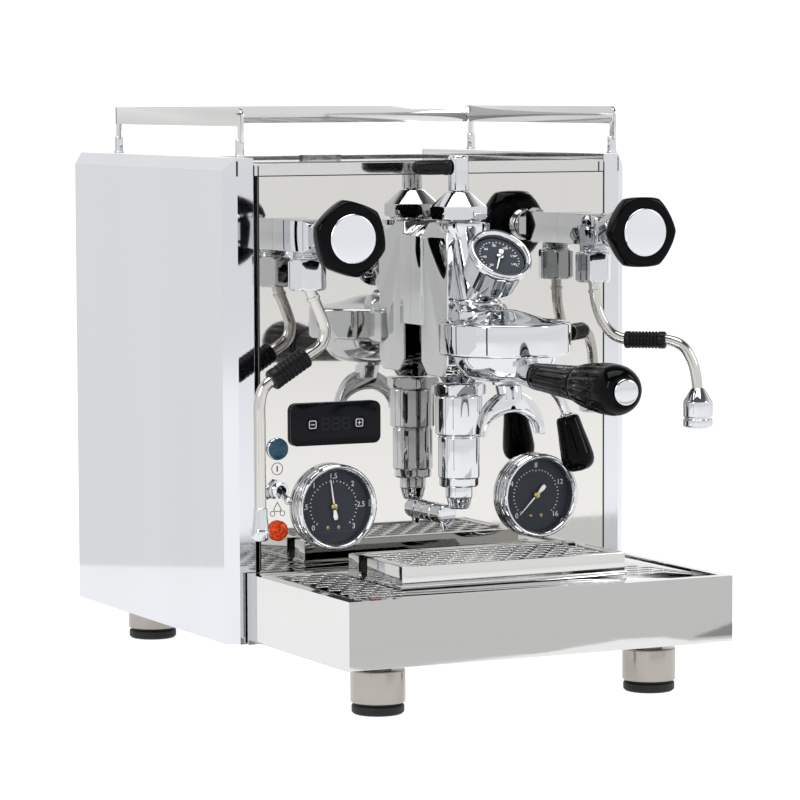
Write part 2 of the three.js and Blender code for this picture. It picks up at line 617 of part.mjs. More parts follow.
const VALVES = [
  { name: 'steam', x: -VALVE_X, wand: steamWand(), turn: 0.21,
    grip: grip([-1.6, -30.8, 223.7], [-26.6, -30.8, 208.4], 4.6, 7.1) },
  { name: 'water', x: VALVE_X, wand: waterWand(), turn: 0.53,
    grip: grip([17, -43.4, 227.9], [38.8, -61.7, 227.9], 4.7, 5.9) },
];
for (const valve of VALVES) {
  const at = [valve.x, 0, 0];
  add(`${valve.name}_valve_body`, valveBody().translate(at), CHROME);
  add(`${valve.name}_knob`, faceFront(knob(valve.turn), valve.x, KNOB_BACK, VALVE_Z), BLACK);
  add(`${valve.name}_knob_cap`, faceFront(knobCap(), valve.x, KNOB_FRONT + 1 - GAP, VALVE_Z), CHROME);
  add(`${valve.name}_union_nut`, unionNut().translate(at), CHROME);
  add(`${valve.name}_wand`, valve.wand.translate(at), CHROME);
  add(`${valve.name}_grip`, valve.grip.translate(at), SOFT_BLACK);
}

// ---------------------------------------------------------------- brew group
function groupCasting() {
  const mount = join(block(-18.3, 18.3, -19, 6, 241, 300),
    wrap(block(-18.3, 18.3, -19, PANEL_FRONT - GAP, 299, 300), block(-8, 8, -19, PANEL_FRONT - GAP, 306,
      307)));
  const cheeks = wrap(block(-17.3, 17.3, -55, -16, 216, 300), block(-17.3, 17.3, -49, -25, 207.6, 212),
    block(-14, 14, -52, -22, 300, 309.6));
  const foot1 = bar([0, COLUMN_Y, 203], [0, COLUMN_Y, 212], 10.5, 16.5, 28);
  const column = join(wrap(prism(ellipse(17.6, 17.4, 0, -45), 306, 309.6),
    prism(ellipse(13, 13, 0, -48), 298, 299)), wrap(prism(ellipse(13, 13, 0, -48), 298, 300),
    prism(ellipse(12.4, 13, 0, -67), 247, 249)));
  const arm = wrap(block(-20, 20, -80, -46, 228, 246.6), block(-17, 17, -80, -49, 224.4, 230));
  const saddle = wrap(prism(polygon(10, 37.4), 246, 253), prism(polygon(10, 31), 253, 257.4))
    .translate([0, -69.5, 0]);
  const bell = turned([[0, 227.4], [0, 227.3], [BELL_RADIUS - 1.6, BELL_BOTTOM],
    [BELL_RADIUS, BELL_BOTTOM + 1.6],
    [BELL_RADIUS, BELL_TOP - 1], [BELL_RADIUS - 1, BELL_TOP], [34, BELL_TOP + 1], [20, BELL_TOP + 3.6],
    [12, BELL_TOP + 6.4], [0, BELL_TOP + 8]], 48).translate([0, BELL_Y, 0]);
  const boss = onGroupGauge(turned([[0, -52], [11, -52], [9.6, -34], [9.2, -26.4], [0, -26.4]], 28));
  const body = join(mount, cheeks, foot1, column, arm, saddle, bell, boss);
  // The mouth of the bell, with a lip that holds the portafilter's lugs.
  const mouth = turned([[0, 220], [34.6, 220], [34.6, 229.4], [37, 229.4], [37, 237.4], [31, 239],
    [31, 243.5],
    [0, 243.5]], 44).translate([0, BELL_Y, 0]);
  const entries = join(block(-37, 37, -13, 13, 220, 230)).intersect(bar([0, 0, 219], [0, 0, 231], 37, 37, 44))
    .rotate([0, 0, -45]).translate([0, BELL_Y, 0]);
  const port = onGroupGauge(turned([[0, -40], [5.4, -40], [5.4, -20], [0, -20]], 20));
  const top = bar([0, COLUMN_Y, 296], [0, COLUMN_Y, 312], 7, 7, 24);
  const water = bar([0, 4, 262], [0, 8, 262], 8, 8, 20);
  return cut(body, mouth, entries, port, top, water);
}
add('group_casting', groupCasting(), CHROME);

function capNut() {
  const six = wrap(prism(polygon(6, 33, 0.06), 310, 321.4), prism(polygon(6, 15.4, 0.06), 329.2, 330));
  const collar = bar([0, 0, 309.9], [0, 0, 312], 15, 15, 32);
  const bore = bar([0, 0, 298], [0, 0, 333], 3.8, 3.8, 20);
  const stub = cut(bar([0, 0, 300], [0, 0, 311], 6.6, 6.6, 24), bore);
  return join(cut(join(six, collar), bore), stub).translate([0, COLUMN_Y, 0]);
}
add('group_cap_nut', capNut(), CHROME);

function flowPost() {
  const post = turned([[0, 302], [3.2, 302], [3.2, 330 + GAP], [6.8, 330 + GAP], [6.8, 353], [6, 354],
    [0, 354]], 28);
  const eye = bar([-9, 0, 346.4], [0, 0, 346.4], 2.5, 2.5, 16);
  return cut(post, eye).translate([0, COLUMN_Y, 0]);
}
add('flow_post', flowPost(), CHROME);

function flowPaddle() {
  const lever = turned([[0, 0.4], [2.1, 0.4], [2.1, 7.2], [5.2, 7.2], [5.3, 9.6], [5, 10], [4.9, 22],
    [4.5, 31], [3.2, 33.6], [0, 34]], 24);
  return lever.rotate([0, -90, 0]).translate([0, COLUMN_Y, 346.4]);
}
add('flow_paddle', flowPaddle(), BLACK);

function infusionChamber() {
  const nut = prism(polygon(6, 32.6, 0.2), 194.6, 202.4)
    .intersect(turned([[0, 194], [17, 194.2], [18.4, 195.4], [18.4, 201], [16.6, 202.7], [0, 202.7]], 36));
  const body = turned([[0, 134.4], [12.8, 134.4], [13.8, 136.4], [13.8, 166.4], [14.6, 167.2], [14.6, 168.4],
    [15.6, 169], [15.6, 194.8], [0, 194.8]], 36);
  const lower = prism(polygon(6, 24.6, 0.3), 133, 140.2).intersect(bar([0, 0, 130],
    [0, 0, 142], 13.2, 13.2, 32));
  const nozzle = turned([[0, 118.4], [6.8, 118.4], [9, 126.4], [9, 134], [0, 134]], 28);
  const hole = turned([[0, 116], [3.2, 116], [3.2, 150], [0, 150]], 16);
  return cut(join(nut, body, lower, nozzle), hole).translate([0, COLUMN_Y, 0]);
}
add('infusion_chamber', infusionChamber(), CHROME);

const LEVER_PATH = [[22, -38, 213], [34, -38.1, 212.2], [48, -38.4, 208.8], [62, -39, 202],
  [71.6, -39.6, 194], [77, -40.1, 186.6], [80.4, -40.7, 178.6]];
const BULB_TOP = [80.6, -40.8, 178];
const BULB_AXIS = [0.194, -0.168, -0.966];
function brewLever() {
  const hub = bar([17.3 + GAP, COLUMN_Y, LEVER_Z], [29, COLUMN_Y, LEVER_Z], 8.4, 6.6, 28);
  const rod = bentBar(LEVER_PATH, 3.1, 10);
  const end = BULB_TOP.map((v, i) => v + BULB_AXIS[i] * 12);
  const tang = bar(BULB_TOP.map((v, i) => v - BULB_AXIS[i] * 3), end, 2.9, 2.9, 14);
  return join(hub, rod, tang);
}
add('brew_lever', brewLever(), CHROME);

function leverGrip() {
  const bulb = turned([[0, 0.6], [6.8, 0.6], [7.9, 2], [9.2, 13], [10.8, 25], [11.3, 30], [10.4, 34.6],
    [7.2, 37.8], [0, 39]], 28);
  const socket = turned([[0, -1], [3.2, -1], [3.2, 13], [0, 13]], 16);
  const tilt = THREE.MathUtils.radToDeg(Math.acos(BULB_AXIS[2]));
  const yaw = THREE.MathUtils.radToDeg(Math.atan2(BULB_AXIS[1], BULB_AXIS[0]));
  return bulb.subtract(socket).rotate([0, tilt, 0]).rotate([0, 0, yaw]).translate(BULB_TOP);
}
add('lever_grip', leverGrip(), BLACK);

function showerScreen() {
  const disc = turned([[0, 237.6], [27.6, 237.6], [28.2, 238.2], [28.2, 240.6], [0, 240.6]], 36);
  const cup = ring([[26.8, 240], [28.2, 240], [28.2, 243.2], [26.8, 243.2]], 36);
  const holes = [];
  for (let i = 0; i < 6; i += 1) {
    const angle = i * Math.PI / 3;
    const x = 17 * Math.cos(angle);
    const y = 17 * Math.sin(angle);
    holes.push(bar([x, y, 236], [x, y, 242], 1.6, 1.6, 8));
  }
  return cut(join(disc, cup), ...holes).translate([0, BELL_Y, 0]);
}
add('shower_screen', showerScreen(), SATIN_STEEL);

// --------------------------------------------------------------- portafilter
function portafilterBody() {
  const bowl = turned([[0, 208.6], [14, 208.6], [24, 210.6], [30.4, 215.6], [33, 222], [33.6, 226],
    [33.6, 235.4], [0, 235.4]], 44);
  const lugs = block(-36.4, 36.4, -10, 10, 229.8, 234.4).intersect(bar([0, 0, 229],
    [0, 0, 236], 36.4, 36.4, 44));
  const neck = wrap(bar([0, -26, HANDLE_Z + 0.4], [0, -27, HANDLE_Z + 0.4], 7, 7, 24),
    bar([0, -44.4, HANDLE_Z], [0, -45.4, HANDLE_Z], 8.8, 8.8, 24));
  const shaft = bar([0, -45, HANDLE_Z], [0, -71, HANDLE_Z - 0.6], 4, 4, 16);
  const outlet = bar([0, 0, 206.2], [0, 0, 210], 8.6, 9.6, 24);
  const well = turned([[0, 212], [16, 212.4], [25, 214.8], [28.6, 219], [31, 226], [31, 237], [0, 237]], 44);
  const drain = bar([0, 0, 204], [0, 0, 214], 3.4, 3.4, 16);
  return cut(join(bowl, lugs, neck, shaft, outlet), well, drain).translate([0, BELL_Y, 0]);
}
add('portafilter_body', portafilterBody(), CHROME);

function filterBasket() {
  const outer = turned([[0, 216.8], [24, 216.8], [26.6, 218.8], [29.4, 224], [29.9, 235.8], [33.2, 235.8],
    [33.2, 236.9], [0, 236.9]], 40);
  const inner = turned([[0, 217.8], [23.6, 217.8], [25.8, 219.4], [28.5, 224.4], [29, 238], [0, 238]], 40);
  return cut(outer, inner).translate([0, BELL_Y, 0]);
}
add('filter_basket', filterBasket(), SATIN_STEEL);

/** The double spout: an arched channel, open below, with a rounded crown. */
function portafilterSpout() {
  const arch = [];
  const steps = 16;
  for (let i = 0; i <= steps; i += 1) {
    const angle = Math.PI * i / steps;
    arch.push([23.6 * Math.cos(angle), 173.6 + 28.6 * Math.sin(angle)]);
  }
  for (let i = steps; i >= 0; i -= 1) {
    const angle = Math.PI * i / steps;
    arch.push([20.4 * Math.cos(angle), 173.6 + 15 * Math.sin(angle)]);
  }
  const channel = [];
  for (let i = 0; i <= steps; i += 1) {
    const angle = Math.PI * i / steps;
    channel.push([21.8 * Math.cos(angle), 172.4 + 26.6 * Math.sin(angle)]);
  }
  channel.push([-21.8, 170], [21.8, 170]);
  const body = prismAlongY(arch, -5, 5);
  const hollow = prismAlongY(channel, -3.4, 3.4);
  const stem = wrap(bar([0, 0, 197], [0, 0, 198], 8, 8, 24), bar([0, 3, 204.9], [0, 3, 205.9], 8.6, 8.6, 24));
  const drain = bar([0, -2.4, 190], [0, 3.8, 208], 3.2, 3.2, 16);
  return cut(join(cut(body, hollow), stem), drain).translate([0, BELL_Y - 7, 0]);
}
add('portafilter_spout', portafilterSpout(), CHROME);

function portafilterHandle() {
  const grip1 = turned([[0, 0.4], [8.2, 0.4], [8.9, 1.6], [10, 25], [11.4, 55], [12.4, 57], [12.4, 60.4],
    [13, 62], [14.4, 70], [15.8, 81], [16.2, 93], [16.1, 100], [15, 105.5], [12.4, 110], [9.6, 112],
    [8.4, 112.4], [8.4, 114], [7.6, 114.6], [0, 114.8]], 32);
  const socket = turned([[0, -1], [4.5, -1], [4.5, 28], [0, 28]], 16);
  return cut(grip1, socket).rotate([90, 0, 0]).rotate([0.9, 0, 0])
    .translate([0, BELL_Y - 45.4 - GAP, HANDLE_Z]);
}
add('portafilter_handle', portafilterHandle(), BLACK);

// ---------------------------------------------------------------- lower front
function drainSpout() {
  const body = turned([[0, -12], [4.9, -12], [4.9, GAP], [6.7, GAP], [6.7, 11], [6.1, 11.6], [6.7, 12.2],
    [6.7, 25.8], [6.1, 26.6], [0, 26.6]], 28);
  const placed = faceFront(body, SPOUT_X, PANEL_FRONT, 113.6);
  const tip = bar([SPOUT_X, PANEL_FRONT - 21, 103.4], [SPOUT_X, PANEL_FRONT - 21, 112], 2.4, 4, 20);
  const bore = bar([SPOUT_X, PANEL_FRONT - 21, 100], [SPOUT_X, PANEL_FRONT - 21, 112], 1.4, 1.4, 12);
  return cut(join(placed, tip), bore);
}
add('drain_spout', drainSpout(), CHROME);

function dripTray() {
  const outer = block(-TRAY_HALF, TRAY_HALF, TRAY_FRONT, TRAY_BACK, TRAY_BOTTOM, TRAY_TOP);
  const cavity = block(-TRAY_HALF + 2, TRAY_HALF - 2, TRAY_FRONT + 2, TRAY_BACK - 2, TRAY_BOTTOM + 2,
    GRILLE_TOP - 4);
  const mouth = block(-TRAY_HALF + 7, TRAY_HALF - 7, TRAY_FRONT + 7, TRAY_BACK - 5, TRAY_BOTTOM + 9,
    TRAY_TOP + 1);
  return cut(outer, cavity, mouth);
}
add('drip_tray', dripTray(), MIRROR_STEEL);

/** Rows of drain slots in a plate, staggered like bricks. */
function slots(x0, x1, y0, y1, columns, rows, length, width, z0, z1) {
  const tools = [];
  for (let row = 0; row < rows; row += 1) {
    const y = y0 + (row + 0.5) * (y1 - y0) / rows;
    const shift = row % 2 === 0 ? -0.2 : 0.2;
    for (let column = 0; column < columns; column += 1) {
      const x = x0 + (column + 0.5 + shift) * (x1 - x0) / columns;
      tools.push(block(x - length / 2, x + length / 2, y - width / 2, y + width / 2, z0, z1));
    }
  }
  return join(...tools);
}

function trayGrille() {
  const half = TRAY_HALF - 7 - GAP;
  const y0 = TRAY_FRONT + 7 + GAP;
  const y1 = TRAY_BACK - 5 - GAP;
  const plate = block(-half, half, y0, y1, GRILLE_TOP - 1.4, GRILLE_TOP);
  const skirt = cut(block(-half, half, y0, y1, GRILLE_TOP - 5, GRILLE_TOP - 1),
    block(-half + 1.4, half - 1.4, y0 + 1.4, y1 - 1.4, GRILLE_TOP - 6, GRILLE_TOP - 1));
  const left = slots(-112, -86, -136, -30, 2, 6, 8.6, 5, 70, 80);
  const right = slots(86, 112, -116, -72, 2, 3, 8.6, 5, 70, 80);
  const middle = slots(-70, 70, -108, -46, 3, 3, 26, 8, 70, 80);
  const seats = [];
  for (const x of [-120, 120]) {
    for (const y of [-140, -20]) {
      seats.push(bar([x, y, TRAY_BOTTOM + 2 + GAP], [x, y, GRILLE_TOP - 1], 3.4, 3.4, 12));
    }
  }
  return join(cut(join(plate, skirt), left, right, middle), ...seats);
}
add('tray_grille', trayGrille(), MIRROR_STEEL);

function cupStage() {
  const h = STAGE_HALF;
  const z0 = GRILLE_TOP + GAP;
  const outer = block(-h, h, STAGE_FRONT, STAGE_BACK, z0, STAGE_TOP);
  const plinth = block(-h - 0.6, h + 0.6, STAGE_FRONT - 1.6, STAGE_BACK, z0, z0 + 2.4);
  const inner = block(-h + SHEET, h - SHEET, STAGE_FRONT + SHEET, STAGE_BACK - SHEET, z0 - 4, STAGE_TOP - 3);
  const dish = block(-h + 8, h - 8, STAGE_FRONT + SHEET, STAGE_BACK - 6, STAGE_TOP - 1.2, STAGE_TOP + 3);
  const holes = slots(-70, 70, STAGE_FRONT + 6, STAGE_BACK - 8, 5, 5, 19, 6, 84, 98);
  const notches = [-h, h].map((x) => join(bar([x - 9, -60, 83], [x + 9, -60, 83], 8, 8, 20),
    block(x - 9, x + 9, -68, -52, 83, STAGE_TOP + 4)));
  return cut(join(outer, plinth), inner, dish, holes, ...notches);
}
add('cup_stage', cupStage(), MIRROR_STEEL);

// ------------------------------------------------------------ common position
// The origin is the middle of the bottom of the whole machine's box.
const box = new THREE.Box3().setFromObject(machine);
const middle = box.getCenter(new THREE.Vector3());
for (const mesh of machine.children) {
  mesh.position.x -= middle.x;
  mesh.position.y -= middle.y;
  mesh.position.z -= box.min.z;
}

export default machine;
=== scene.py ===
"""Espresso machine with a lever brew group: detailed pieces and materials round the CAD frame."""
import math

import bmesh
import bpy
from mathutils import Matrix, Vector


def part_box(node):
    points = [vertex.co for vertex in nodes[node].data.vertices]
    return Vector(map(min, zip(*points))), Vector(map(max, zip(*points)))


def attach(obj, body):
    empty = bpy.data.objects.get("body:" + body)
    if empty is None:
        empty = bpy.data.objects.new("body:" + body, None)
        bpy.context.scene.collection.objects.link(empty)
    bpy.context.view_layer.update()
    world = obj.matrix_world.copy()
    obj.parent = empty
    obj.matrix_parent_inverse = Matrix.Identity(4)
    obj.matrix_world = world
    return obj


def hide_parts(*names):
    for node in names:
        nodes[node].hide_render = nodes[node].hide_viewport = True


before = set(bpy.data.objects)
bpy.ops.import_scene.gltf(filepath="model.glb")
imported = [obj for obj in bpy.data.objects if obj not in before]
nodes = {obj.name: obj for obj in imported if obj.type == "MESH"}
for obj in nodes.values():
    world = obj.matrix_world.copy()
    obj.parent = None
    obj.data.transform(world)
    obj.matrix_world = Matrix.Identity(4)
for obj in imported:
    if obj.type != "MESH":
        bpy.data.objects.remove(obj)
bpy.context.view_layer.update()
scene = bpy.context.scene
TAU = 2 * math.pi
MM = 1000.0  # millimetres in a metre

# ------------------------------------------------------------------ placement
# Shapes are written in millimetres about the machine's own centre plane, front
# mounting plane and table. The front panel's box says where those lie.
PANEL_FRONT = -3.4
panel_low, panel_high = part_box("front_panel")
SHIFT_X = (panel_low.x + panel_high.x) * (MM / 2)
SHIFT_Y = panel_low.y * MM - PANEL_FRONT
TO_ROW = Matrix.Scale(1 / MM, 4) @ Matrix.Translation((SHIFT_X, SHIFT_Y, 0))


def row(x, y, z):
    """A point in machine millimetres as a point of the row frame in metres."""
    return TO_ROW @ Vector((x, y, z))


# ------------------------------------------------------------------ materials
EVEN = (1, 1, 1)  # a grain that runs the same way in all directions
NOISE_LOW, NOISE_HIGH = 0.3, 0.7  # nearly all values of a noise texture lie between these
BUMP_HEIGHT = 0.0003  # metres


def linear(code):
    """A hex colour as linear RGB."""
    parts = [int(code[i:i + 2], 16) / 255 for i in (0, 2, 4)]
    return tuple(v / 12.92 if v <= 0.04045 else ((v + 0.055) / 1.055) ** 2.4 for v in parts)


def surface(name, code, rough, metal=0.0, spread=0.04, grain=500.0, stretch=EVEN, shade=0.06,
            bump=0.0, patch=14.0, **sockets):
    """A procedural finish: grain in the gloss, slow changes of tone, and a fine bump.

    The roughness varies by spread and the tone by shade. grain and patch are the scales of the
    two noises, and stretch draws them out along an axis, as brushing does."""
    m = bpy.data.materials.new(name)
    m.use_nodes = True
    tree = m.node_tree
    link = tree.links.new
    p = tree.nodes["Principled BSDF"]

    def node(kind, **values):
        n = tree.nodes.new(kind)
        for key, value in values.items():
            n.inputs[key.replace("_", " ")].default_value = value
        return n

    where = node("ShaderNodeTexCoord")
    turn = node("ShaderNodeMapping", Scale=stretch)
    link(where.outputs["Object"], turn.inputs["Vector"])
    fine = node("ShaderNodeTexNoise", Scale=grain, Detail=4.0, Roughness=0.6)
    link(turn.outputs["Vector"], fine.inputs["Vector"])
    gloss = node("ShaderNodeMapRange", From_Min=NOISE_LOW, From_Max=NOISE_HIGH,
                 To_Min=max(rough - spread, 0.01), To_Max=rough + spread)
    link(fine.outputs["Fac"], gloss.inputs["Value"])
    link(gloss.outputs["Result"], p.inputs["Roughness"])
    slow = node("ShaderNodeTexNoise", Scale=patch, Detail=3.0, Roughness=0.5)
    link(turn.outputs["Vector"], slow.inputs["Vector"])
    ramp = node("ShaderNodeValToRGB")
    base = linear(code)
    dark, light = ramp.color_ramp.elements
    dark.position = NOISE_LOW
    dark.color = (*[v * (1 - shade) for v in base], 1)
    light.position = NOISE_HIGH
    light.color = (*[min(v * (1 + shade), 1) for v in base], 1)
    link(slow.outputs["Fac"], ramp.inputs["Fac"])
    link(ramp.outputs["Color"], p.inputs["Base Color"])
    p.inputs["Metallic"].default_value = metal
    for key, value in sockets.items():
        p.inputs[key.replace("_", " ")].default_value = value
    if bump:
        relief = node("ShaderNodeBump", Strength=bump, Distance=BUMP_HEIGHT)
        link(fine.outputs["Fac"], relief.inputs["Height"])
        link(relief.outputs["Normal"], p.inputs["Normal"])
    return m


MIRROR = surface("mirror_steel", "cccbc8", 0.03, 1, 0.012, 240, (1, 1, 0.15), 0.02)
SIDE = surface("side_steel", "c9cbcf", 0.055, 1, 0.02, 700, (1, 1, 0.05), 0.015, 0.004)
TRAY_STEEL = surface("tray_steel", "c8c8c7", 0.035, 1, 0.03, 900, (0.04, 1, 1), 0.02, 0.004)
STEEL = surface("formed_steel", "c6c6c5", 0.08, 1, 0.03, 700, (0.2, 1, 1), 0.03, 0.006)
DULL_STEEL = surface("inner_steel", "8d8b88", 0.4, 1, 0.08, 500, (1, 0.1, 1), 0.05, 0.03)
# Painted shade: a near-black sheet colour that stands for the shade inside the drip tray and under the cup
# stage.
PAINTED_SHADE_STEEL = surface("painted_shade_steel", "1a1816", 0.6, 0.2, 0.1, 300, EVEN, 0.3, 0.03)
WARM_STEEL = surface("warm_brushed_steel", "a09b95", 0.2, 1, 0.06, 700, (0.08, 0.08, 1), 0.08, 0.04)
CHROME = surface("polished_chrome", "c8cacd", 0.03, 1, 0.01, 180, EVEN, 0.02)
TUBE = surface("tube_steel", "bfbdb9", 0.1, 1, 0.04, 900, (1, 1, 0.2), 0.04, 0.012)
BRIGHT_CAP = surface("bright_cap", "d2d4d8", 0.2, 1, 0.04, 600, EVEN, 0.02, 0.01)
GLOSS_BLACK = surface("gloss_black", "020304", 0.04, 0, 0.015, 300, EVEN, 0.15, 0.003,
                      Specular_IOR_Level=0.075)
GRIP_BLACK = surface("grip_black", "0b0c0e", 0.3, 0, 0.1, 900, EVEN, 0.18, 0.05,
                     Specular_IOR_Level=0.16)
RUBBER = surface("rubber", "141416", 0.55, 0, 0.1, 1100, EVEN, 0.15, 0.1, Specular_IOR_Level=0.3)
SCREEN = surface("display_black", "080a10", 0.1, 0, 0.03, 260, EVEN, 0.12, 0.003,
                 Specular_IOR_Level=0.12)
KEY_BLACK = surface("key_black", "0b0d12", 0.25, 0, 0.06, 500, EVEN, 0.12, 0.02,
                    Specular_IOR_Level=0.12)
SEGMENT = surface("unlit_segment", "15171e", 0.3, 0, 0.05, 500, EVEN, 0.08,
                  Specular_IOR_Level=0.25)
DIAL = surface("dial_slate", "32373f", 0.5, 0, 0.06, 900, EVEN, 0.05, 0.01, Specular_IOR_Level=0.2)
PRINT = surface("dial_print", "dfe1e0", 0.55, 0, 0.05, 900, EVEN, 0.03)
NEEDLE = surface("needle_white", "f2f2ee", 0.45, 0, 0.05, 700, EVEN, 0.03)
BRASS = surface("brass", "b5a672", 0.24, 1, 0.06, 600, EVEN, 0.06, 0.02)
ICON = surface("printed_grey", "4a4a4c", 0.5, 0, 0.05, 700, EVEN, 0.05)
TEAL = surface("teal_lens", "0b3a52", 0.1, 0, 0.04, 300, EVEN, 0.12, 0.003,
               Specular_IOR_Level=0.4)
ORANGE = surface("orange_lens", "c23802", 0.08, 0, 0.03, 260, EVEN, 0.75, 0.003, patch=520.0,
                 Specular_IOR_Level=0.2)
TANK = surface("tank_plastic", "c9d3d8", 0.32, 0, 0.06, 500, EVEN, 0.05, 0.01)
COPPER = surface("copper", "b87333", 0.34, 1, 0.08, 300, (0.2, 1, 1), 0.12, 0.04)


# -------------------------------------------------------------------- shapes
def linked(name, data):
    """A new object of the scene."""
    o = bpy.data.objects.new(name, data)
    scene.collection.objects.link(o)
    return o


def to_mesh(name, bm):
    """Turns the shape into a mesh and frees it."""
    mesh = bpy.data.meshes.new(name)
    bm.to_mesh(mesh)
    bm.free()
    return mesh


def pour(whole, bm):
    """Adds a shape to the whole and frees it."""
    spare = to_mesh("spare", bm)
    whole.from_mesh(spare)
    bpy.data.meshes.remove(spare)


def evaluated(o):
    """The shape that an object has after its curve settings or modifiers."""
    mesh = bpy.data.meshes.new_from_object(o.evaluated_get(bpy.context.evaluated_depsgraph_get()))
    bm = bmesh.new()
    bm.from_mesh(mesh)
    bpy.data.meshes.remove(mesh)
    return bm


def rounded(profile, radius, steps=3, closed=False):
    """The profile with its corners rounded by up to the given radius."""
    n = len(profile)
    out = []
    for i, here in enumerate(profile):
        if not closed and i in (0, n - 1):
            out.append(here)
            continue
        before = Vector(profile[i - 1])
        after = Vector(profile[(i + 1) % n])
        point = Vector(here)
        u = before - point
        v = after - point
        if u.length < 1e-6 or v.length < 1e-6 or math.pi - u.angle(v) < 0.35:
            out.append(here)
            continue
        d = min(radius, 0.45 * u.length, 0.45 * v.length)
        a = point + u.normalized() * d
        b = point + v.normalized() * d
        for k in range(steps + 1):
            t = k / steps
            out.append(tuple((1 - t) ** 2 * a + 2 * t * (1 - t) * point + t * t * b))
    return out


def lathe(profile, sides=72, flats=None, turn=0.0, round_by=0.0, closed=False, flute=None, soften=0):
    """A piece turned about +Z from (radius, height) pairs. flats=(n, width) trims it to an n-sided
    bar, soften rounds that bar's corners, and flute(angle, height) scales its radius."""
    if round_by:
        profile = rounded(profile, round_by, 3, closed)
    bm = bmesh.new()
    rings = []
    for r, z in profile:
        if r <= 1e-6:
            rings.append([bm.verts.new((0, 0, z))])
            continue
        ring = []
        for i in range(sides):
            a = turn + i * TAU / sides
            rr = r
            if flats:
                n, width = flats
                part = (a - turn + math.pi / n) % (TAU / n) - math.pi / n
                flat = width / 2 / math.cos(part)
                rr = (flat ** -soften + r ** -soften) ** (-1 / soften) if soften else min(flat, r)
            if flute:
                rr *= flute(a, z)
            ring.append(bm.verts.new((rr * math.cos(a), rr * math.sin(a), z)))
        rings.append(ring)
    pairs = list(zip(rings, rings[1:]))
    if closed:
        pairs.append((rings[-1], rings[0]))
    for low, high in pairs:
        for i in range(sides):
            j = (i + 1) % sides
            corners = [low[i % len(low)], low[j % len(low)], high[j % len(high)], high[i % len(high)]]
            unique = list(dict.fromkeys(corners))
            if len(unique) > 2:
                bm.faces.new(unique)
    bmesh.ops.recalc_face_normals(bm, faces=bm.faces)
    return bm


def pin(radius, low, high, sides, round_by=0.0):
    """An upright cylinder between two heights."""
    return lathe([(0, low), (radius, low), (radius, high), (0, high)], sides, round_by=round_by)


def bevelled(bm, width, segments=2):
    """Rounds every edge sharper than 25 degrees."""
    if width:
        limit = math.radians(25)
        edges = [e for e in bm.edges if len(e.link_faces) == 2 and e.calc_face_angle(0) > limit]
        bmesh.ops.bevel(bm, geom=edges, offset=width, segments=segments, profile=0.5,
                        affect="EDGES", clamp_overlap=True)
    return bm


def block(x0, x1, y0, y1, z0, z1, bevel=0.4, segments=2):
    """A box between six planes, with its edges rounded."""
    bm = bmesh.new()
    middle = Matrix.Translation(((x0 + x1) / 2, (y0 + y1) / 2, (z0 + z1) / 2))
    bmesh.ops.create_cube(bm, size=1, matrix=middle @ Matrix.Diagonal((x1 - x0, y1 - y0, z1 - z0, 1)))
    return bevelled(bm, bevel, segments)


def hull(points, bevel=0.6, segments=3):
    """The solid that wraps round the points."""
    bm = bmesh.new()
    made = [bm.verts.new(p) for p in points]
    result = bmesh.ops.convex_hull(bm, input=made)
    spare = [v for v in result["geom_interior"] if isinstance(v, bmesh.types.BMVert)]
    bmesh.ops.delete(bm, geom=spare, context="VERTS")
    bmesh.ops.dissolve_limit(bm, angle_limit=0.01, verts=bm.verts, edges=bm.edges)
    bmesh.ops.recalc_face_normals(bm, faces=bm.faces)
    return bevelled(bm, bevel, segments)


def corners(x0, x1, y0, y1, z0, z1):
    """The corners of a box, for a hull."""
    return [(x, y, z) for x in (x0, x1) for y in (y0, y1) for z in (z0, z1)]


def prism(outline, z0, z1, bevel=0.3, segments=2):
    """A straight prism along +Z."""
    bm = bmesh.new()
    low = [bm.verts.new((x, y, z0)) for x, y in outline]
    high = [bm.verts.new((x, y, z1)) for x, y in outline]
    bm.faces.new(low)
    bm.faces.new(high)
    for i in range(len(outline)):
        j = (i + 1) % len(outline)
        bm.faces.new((low[i], low[j], high[j], high[i]))
    bmesh.ops.recalc_face_normals(bm, faces=bm.faces)
    return bevelled(bm, bevel, segments)


def circle(radius, cx=0.0, cy=0.0, sides=32, ry=None):
    ry = radius if ry is None else ry
    return [(cx + radius * math.cos(i * TAU / sides), cy + ry * math.sin(i * TAU / sides))
            for i in range(sides)]


def rounded_box(x0, x1, y0, y1, radius, steps=6):
    points = []
    for cx, cy, quarter in ((x1 - radius, y1 - radius, 0), (x0 + radius, y1 - radius, 1),
                            (x0 + radius, y0 + radius, 2), (x1 - radius, y0 + radius, 3)):
        for i in range(steps + 1):
            a = (quarter + i / steps) * math.pi / 2
            points.append((cx + radius * math.cos(a), cy + radius * math.sin(a)))
    return points


def from_curve(curve):
    """The mesh that a curve or text makes."""
    holder = linked("holder", curve)
    bm = evaluated(holder)
    bpy.data.objects.remove(holder)
    bpy.data.curves.remove(curve)
    bmesh.ops.remove_doubles(bm, verts=bm.verts, dist=1e-5)
    return bm


def plate(outline, holes, z0, z1, edge=0.15):
    """A flat plate with holes and softened edges."""
    curve = bpy.data.curves.new("plate", "CURVE")
    curve.dimensions = "2D"
    curve.fill_mode = "BOTH"
    curve.extrude = (z1 - z0) / 2 - edge
    curve.bevel_depth = edge
    curve.bevel_resolution = 1
    curve.offset = -edge
    for points in [outline, *holes]:
        spline = curve.splines.new("POLY")
        spline.points.add(len(points) - 1)
        for p, (x, y) in zip(spline.points, points):
            p.co = (x, y, 0, 1)
        spline.use_cyclic_u = True
    return moved(from_curve(curve), 0, 0, (z0 + z1) / 2)


